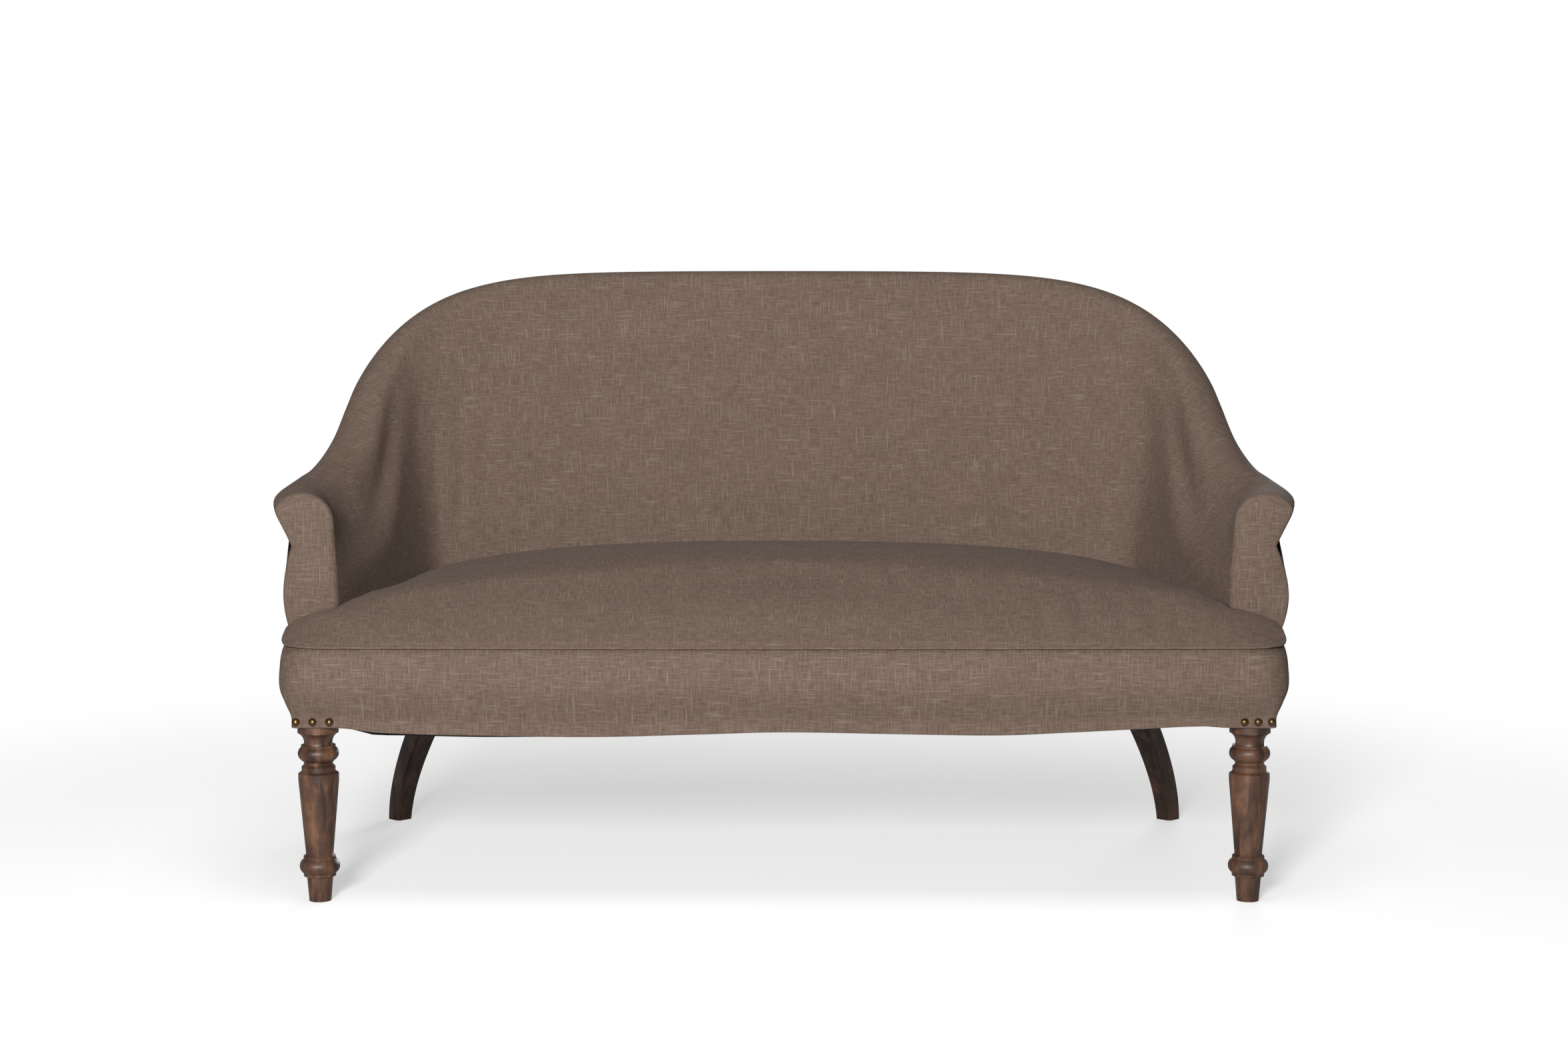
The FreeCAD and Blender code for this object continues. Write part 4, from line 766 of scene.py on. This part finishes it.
def plumped(piece, held, cap, pressure=4.0):
    """Blows the linen up against its held edges, as stuffing does, and keeps the result."""
    rest = [vert.co.copy() for vert in piece.data.vertices]
    group = piece.vertex_groups.new(name="held")
    group.add([k for k, co in enumerate(rest) if held(co)], 1.0, "REPLACE")
    cloth = piece.modifiers.new("plump", "CLOTH")
    cloth.settings.use_pressure = True
    cloth.settings.uniform_pressure_force = pressure
    cloth.settings.effector_weights.gravity = 0
    cloth.settings.vertex_group_mass = "held"
    cloth.settings.shrink_min = -0.006
    scene = bpy.context.scene
    for step in range(1, 21):
        scene.frame_set(step)
    blown = piece.evaluated_get(bpy.context.evaluated_depsgraph_get()).to_mesh()
    moves = [vert.co - co for vert, co in zip(blown.vertices, rest)]
    piece.modifiers.remove(cloth)
    scene.frame_set(1)
    for vert, co, move in zip(piece.data.vertices, rest, moves):
        vert.co = co + move * min(1.0, cap / max(move.length, 1e-9))
    piece.vertex_groups.remove(group)


seat = seat_linen()
plumped(seat, lambda co: co.z < seat_height(co.x, co.y) - 0.0004 or co.y < seam_y(co.x) + 0.004, 0.006)
seat.data.materials.append(linen)
solid = seat.modifiers.new("wadding", "SOLIDIFY")
solid.thickness = 0.0022
solid.offset = -1
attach(seat, "root")
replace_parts(seat, "seat_cover", "seat_foam")


# Front border
# The boxing under the seam: a long strip of linen over wadding that swells in front of
# the rail, wraps both corners and is nailed to the heads of the front legs.
FRAME_HALF = 0.679
FRAME_FRONT = -0.362
BOW_RADIUS = 38.423
LEVELS = [
    (0.249, 0.0037, 0.009), (0.26375, 0.0040, 0.010), (0.280, 0.013, 0.030),
    (0.302, 0.023, 0.052), (0.330, 0.0235, 0.060), (0.350, 0.0205, 0.063), (0.3605, 0.0135, 0.060),
]


def front_plan(offset, corner, end=ARM_FRONT - 0.0003):
    """Plan of the front of the seat, moved outwards from the frame, from left to right."""
    x = FRAME_HALF + offset
    big = BOW_RADIUS + offset
    big_y = FRAME_FRONT - FRONT_BOW - offset + big
    cx = x - corner
    cy = big_y - math.sqrt((big - corner) ** 2 - cx**2)
    first = math.atan2(cy - big_y, cx)
    meet = cx + corner * math.cos(first)
    half = [(px, big_y - math.sqrt(big**2 - px**2)) for px in spaced(0, meet, 110)]
    half += [(cx + corner * math.cos(t), cy + corner * math.sin(t)) for t in spaced(first, 0, 22)[1:]]
    half += [(x, y) for y in spaced(cy, end, 12)[1:]]
    return [(-px, py) for px, py in half[:0:-1]] + half


HEM_LINE = [
    (-0.69, 0.0), (-0.61, 0.0), (-0.56, -0.006), (-0.40, -0.010), (-0.252, -0.011), (-0.10, -0.007), (0.0, -0.0045),
    (0.15, -0.007), (0.296, -0.009), (0.40, -0.005), (0.484, -0.001), (0.578, 0.003), (0.61, 0.001), (0.69, 0.0),
]


def border_linen():
    rows = []
    for z in [*spaced(0.3600, 0.350, 8), *spaced(0.347, 0.270, 26), *spaced(0.268, 0.249, 8)]:
        offset, corner = eased(LEVELS, z, 1), eased(LEVELS, z, 2)
        rows.append((z, offset, corner))
    rows = [(0.3602, 0.004, 0.052), (0.3602, 0.009, 0.057), *rows, (0.2482, 0.0030, 0.009), (0.2484, 0.0008, 0.008)]
    grid, weave = [], []
    for z, offset, corner in rows:
        plan = front_plan(offset, corner)
        share = (z - 0.249) / (0.361 - 0.249)
        row, marks, run = [], [], -sum(math.dist(a, b) for a, b in zip(plan, plan[1:])) / 2
        for k, (x, y) in enumerate(plan):
            if k:
                run += math.dist(plan[k - 1], (x, y))
            drop = eased(HEM_LINE, max(-0.69, min(0.69, x)), 1) * (1 - share) ** 2 * smooth_step(0.6 - share, 0, 0.6)
            row.append(Vector((x, y, z + drop + seam_lift(y) * max(share, 0.0) ** 2 * (1 if abs(x) > 0.5 else 0))))
            marks.append((run, z))
        grid.append(row)
        weave.append(marks)
    return cloth_piece("border_linen", cloth_mesh("border", grid, weave))


border = border_linen()
border.data.materials.append(linen)
solid = border.modifiers.new("wadding", "SOLIDIFY")
solid.thickness = 0.0025
solid.offset = -1
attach(border, "root")
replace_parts(border, "front_border")


# Black cambric
# A thin non-woven dust cover stapled under the seat frame and cut out round the legs. Where
# the staples are far apart it hangs slack, and a black strip shows below the border.
cambric, tree, shader = new_material("black_cambric", 0.85, Specular_IOR_Level=0.2)
fibres = noise(tree, object_place(tree), 900.0, 2.0)
finish_surface(tree, shader, blend(tree, fibres, "#0b0b0b", "#1d1d1c"))
give(cambric, "dust_cover")

# How far the front edge hangs slack, from left to right.
SAGS = [
    (-0.62, 0.0), (-0.56, 0.0125), (-0.40, 0.0150), (-0.26, 0.0140), (-0.19, 0.0),
    (0.27, 0.0), (0.34, 0.0100), (0.41, 0.0), (0.62, 0.0),
]


def cambric_cover():
    """The stapled cloth, cut in a fine grid so that it can hang slack between its staples."""
    source = nodes["dust_cover"]
    work = bmesh.new()
    work.from_mesh(source.data)
    work.transform(source.matrix_world)
    cuts = [(Vector((x, 0, 0)), Vector((1, 0, 0))) for x in spaced(-0.63, 0.63, 64)]
    for y in [*spaced(-0.350, -0.250, 14), *spaced(-0.22, 0.24, 12)]:
        cuts.append((Vector((0, y, 0)), Vector((0, 1, 0))))
    for point, normal in cuts:
        whole = [*work.verts, *work.edges, *work.faces]
        bmesh.ops.bisect_plane(work, geom=whole, plane_co=point, plane_no=normal, dist=0.0001)
    for vert in work.verts:
        x, y, z = vert.co
        slack = 0.0
        for (xa, sag_a), (xb, sag_b) in zip(SAGS, SAGS[1:]):
            if xa <= x < xb:
                slack = sag_a + (sag_b - sag_a) * smooth_step(x, xa, xb)
        near_front = smooth_step(-y, 0.270, 0.335)
        vert.co.z = z - 0.0002 - slack * near_front
    made = bpy.data.meshes.new("cambric_cover")
    work.to_mesh(made)
    work.free()
    cover = bpy.data.objects.new("cambric_cover", made)
    bpy.context.scene.collection.objects.link(cover)
    return cover


cover = cambric_cover()
cover.data.materials.clear()
cover.data.materials.append(cambric)
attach(cover, "root")
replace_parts(cover, "dust_cover")


# Antique nails
# Six domed upholstery nails, three into the head of each front leg, pressed from brass
# sheet and browned, so that only their crowns are bright.
antique, tree, shader = new_material("browned_brass", 0.34, Metallic=1.0)
tarnish = noise(tree, object_place(tree), 420.0, 4.0)
finish_surface(tree, shader, blend(tree, tarnish, "#3d2c20", "#8a6a4a"))
give(antique, "border_nails")


# Studio
# A white floor that keeps the soft shadow of the sofa, a white surround, a large soft lamp
# in front to the left, one above, and a weak one behind that only the back of the sofa gets.
# The camera stands at the height of the back and looks slightly down.
floor_mesh = bpy.data.meshes.new("floor")
floor_mesh.from_pydata([(-9, -7, 0), (9, -7, 0), (9, 9, 0), (-9, 9, 0)], [], [(0, 1, 2, 3)])
floor = bpy.data.objects.new("floor", floor_mesh)
bpy.context.scene.collection.objects.link(floor)
FLOOR_LIFT = 0.50
paper, tree, shader = new_material("white_paper", 0.9, Specular_IOR_Level=0.0)
shader.inputs["Base Color"].default_value = linear("#e2e2e2")
seen = add(tree, "ShaderNodeLightPath").outputs["Is Camera Ray"]
away = add(tree, "ShaderNodeVectorMath", {"operation": "LENGTH"}, {0: object_place(tree)})
edges = {"Value": away.outputs["Value"], "From Min": 0.9, "From Max": 2.1}
fade = add(tree, "ShaderNodeMapRange", {"interpolation_type": "SMOOTHSTEP"}, edges)
hidden = add(tree, "ShaderNodeMath", {"operation": "MULTIPLY"}, {0: seen, 1: fade.outputs[0]})
glow = add(tree, "ShaderNodeEmission", {}, {"Color": (1, 1, 1, 1), "Strength": 1.0})
mixed = add(tree, "ShaderNodeMixShader", {}, {0: hidden.outputs[0], 1: shader.outputs[0], 2: glow.outputs[0]})
tree.links.new(mixed.outputs[0], tree.nodes["Material Output"].inputs["Surface"])
lift = add(tree, "ShaderNodeMath", {"operation": "MULTIPLY"}, {0: seen, 1: FLOOR_LIFT})
tree.links.new(lift.outputs[0], shader.inputs["Emission Strength"])
shader.inputs["Emission Color"].default_value = (1, 1, 1, 1)
floor_mesh.materials.append(paper)

world = bpy.data.worlds.new("studio")
world.use_nodes = True
tree = world.node_tree
tree.nodes.clear()
seen = add(tree, "ShaderNodeLightPath")
shine = add(tree, "ShaderNodeMath", {"operation": "MULTIPLY"}, {0: seen.outputs["Is Glossy Ray"], 1: 0.25})
rays = {0: seen.outputs["Is Camera Ray"], 1: shine.outputs[0]}
either = add(tree, "ShaderNodeMath", {"operation": "MAXIMUM"}, rays)
level = ranged(tree, either.outputs[0], 0.0, 1.0, 0.03, 1.0)
white = add(tree, "ShaderNodeBackground", {}, {"Color": (1, 1, 1, 1), "Strength": level})
add(tree, "ShaderNodeOutputWorld", {}, {"Surface": white.outputs[0]})
bpy.context.scene.world = world

for name, spot, aim, size, power in (
    ("front_lamp", (-0.9, -5.2, 1.8), (0, 0, 0.5), 1.0, 300),
    ("top_lamp", (0.0, -1.0, 3.8), (0, 0, 0.3), 1.6, 34),
    ("back_lamp", (1.4, 4.6, 1.0), (0, 0, 0.7), 1.6, 105),
):
    lamp = bpy.data.lights.new(name, "AREA")
    lamp.size = size
    lamp.energy = power
    holder = bpy.data.objects.new(name, lamp)
    holder.visible_camera = False
    holder.location = spot
    holder.rotation_euler = (Vector(aim) - Vector(spot)).to_track_quat("-Z", "Y").to_euler()
    bpy.context.scene.collection.objects.link(holder)

lens = bpy.data.cameras.new("camera")
lens.sensor_width = 36
lens.lens = 4200 / 2352 * 36
camera = bpy.data.objects.new("camera", lens)
camera.location = (0, -4.2, 0.863)
camera.rotation_euler = (math.radians(90 - 4.9), 0, 0)
bpy.context.scene.collection.objects.link(camera)
bpy.context.scene.camera = camera
bpy.context.scene.view_settings.view_transform = "Standard"
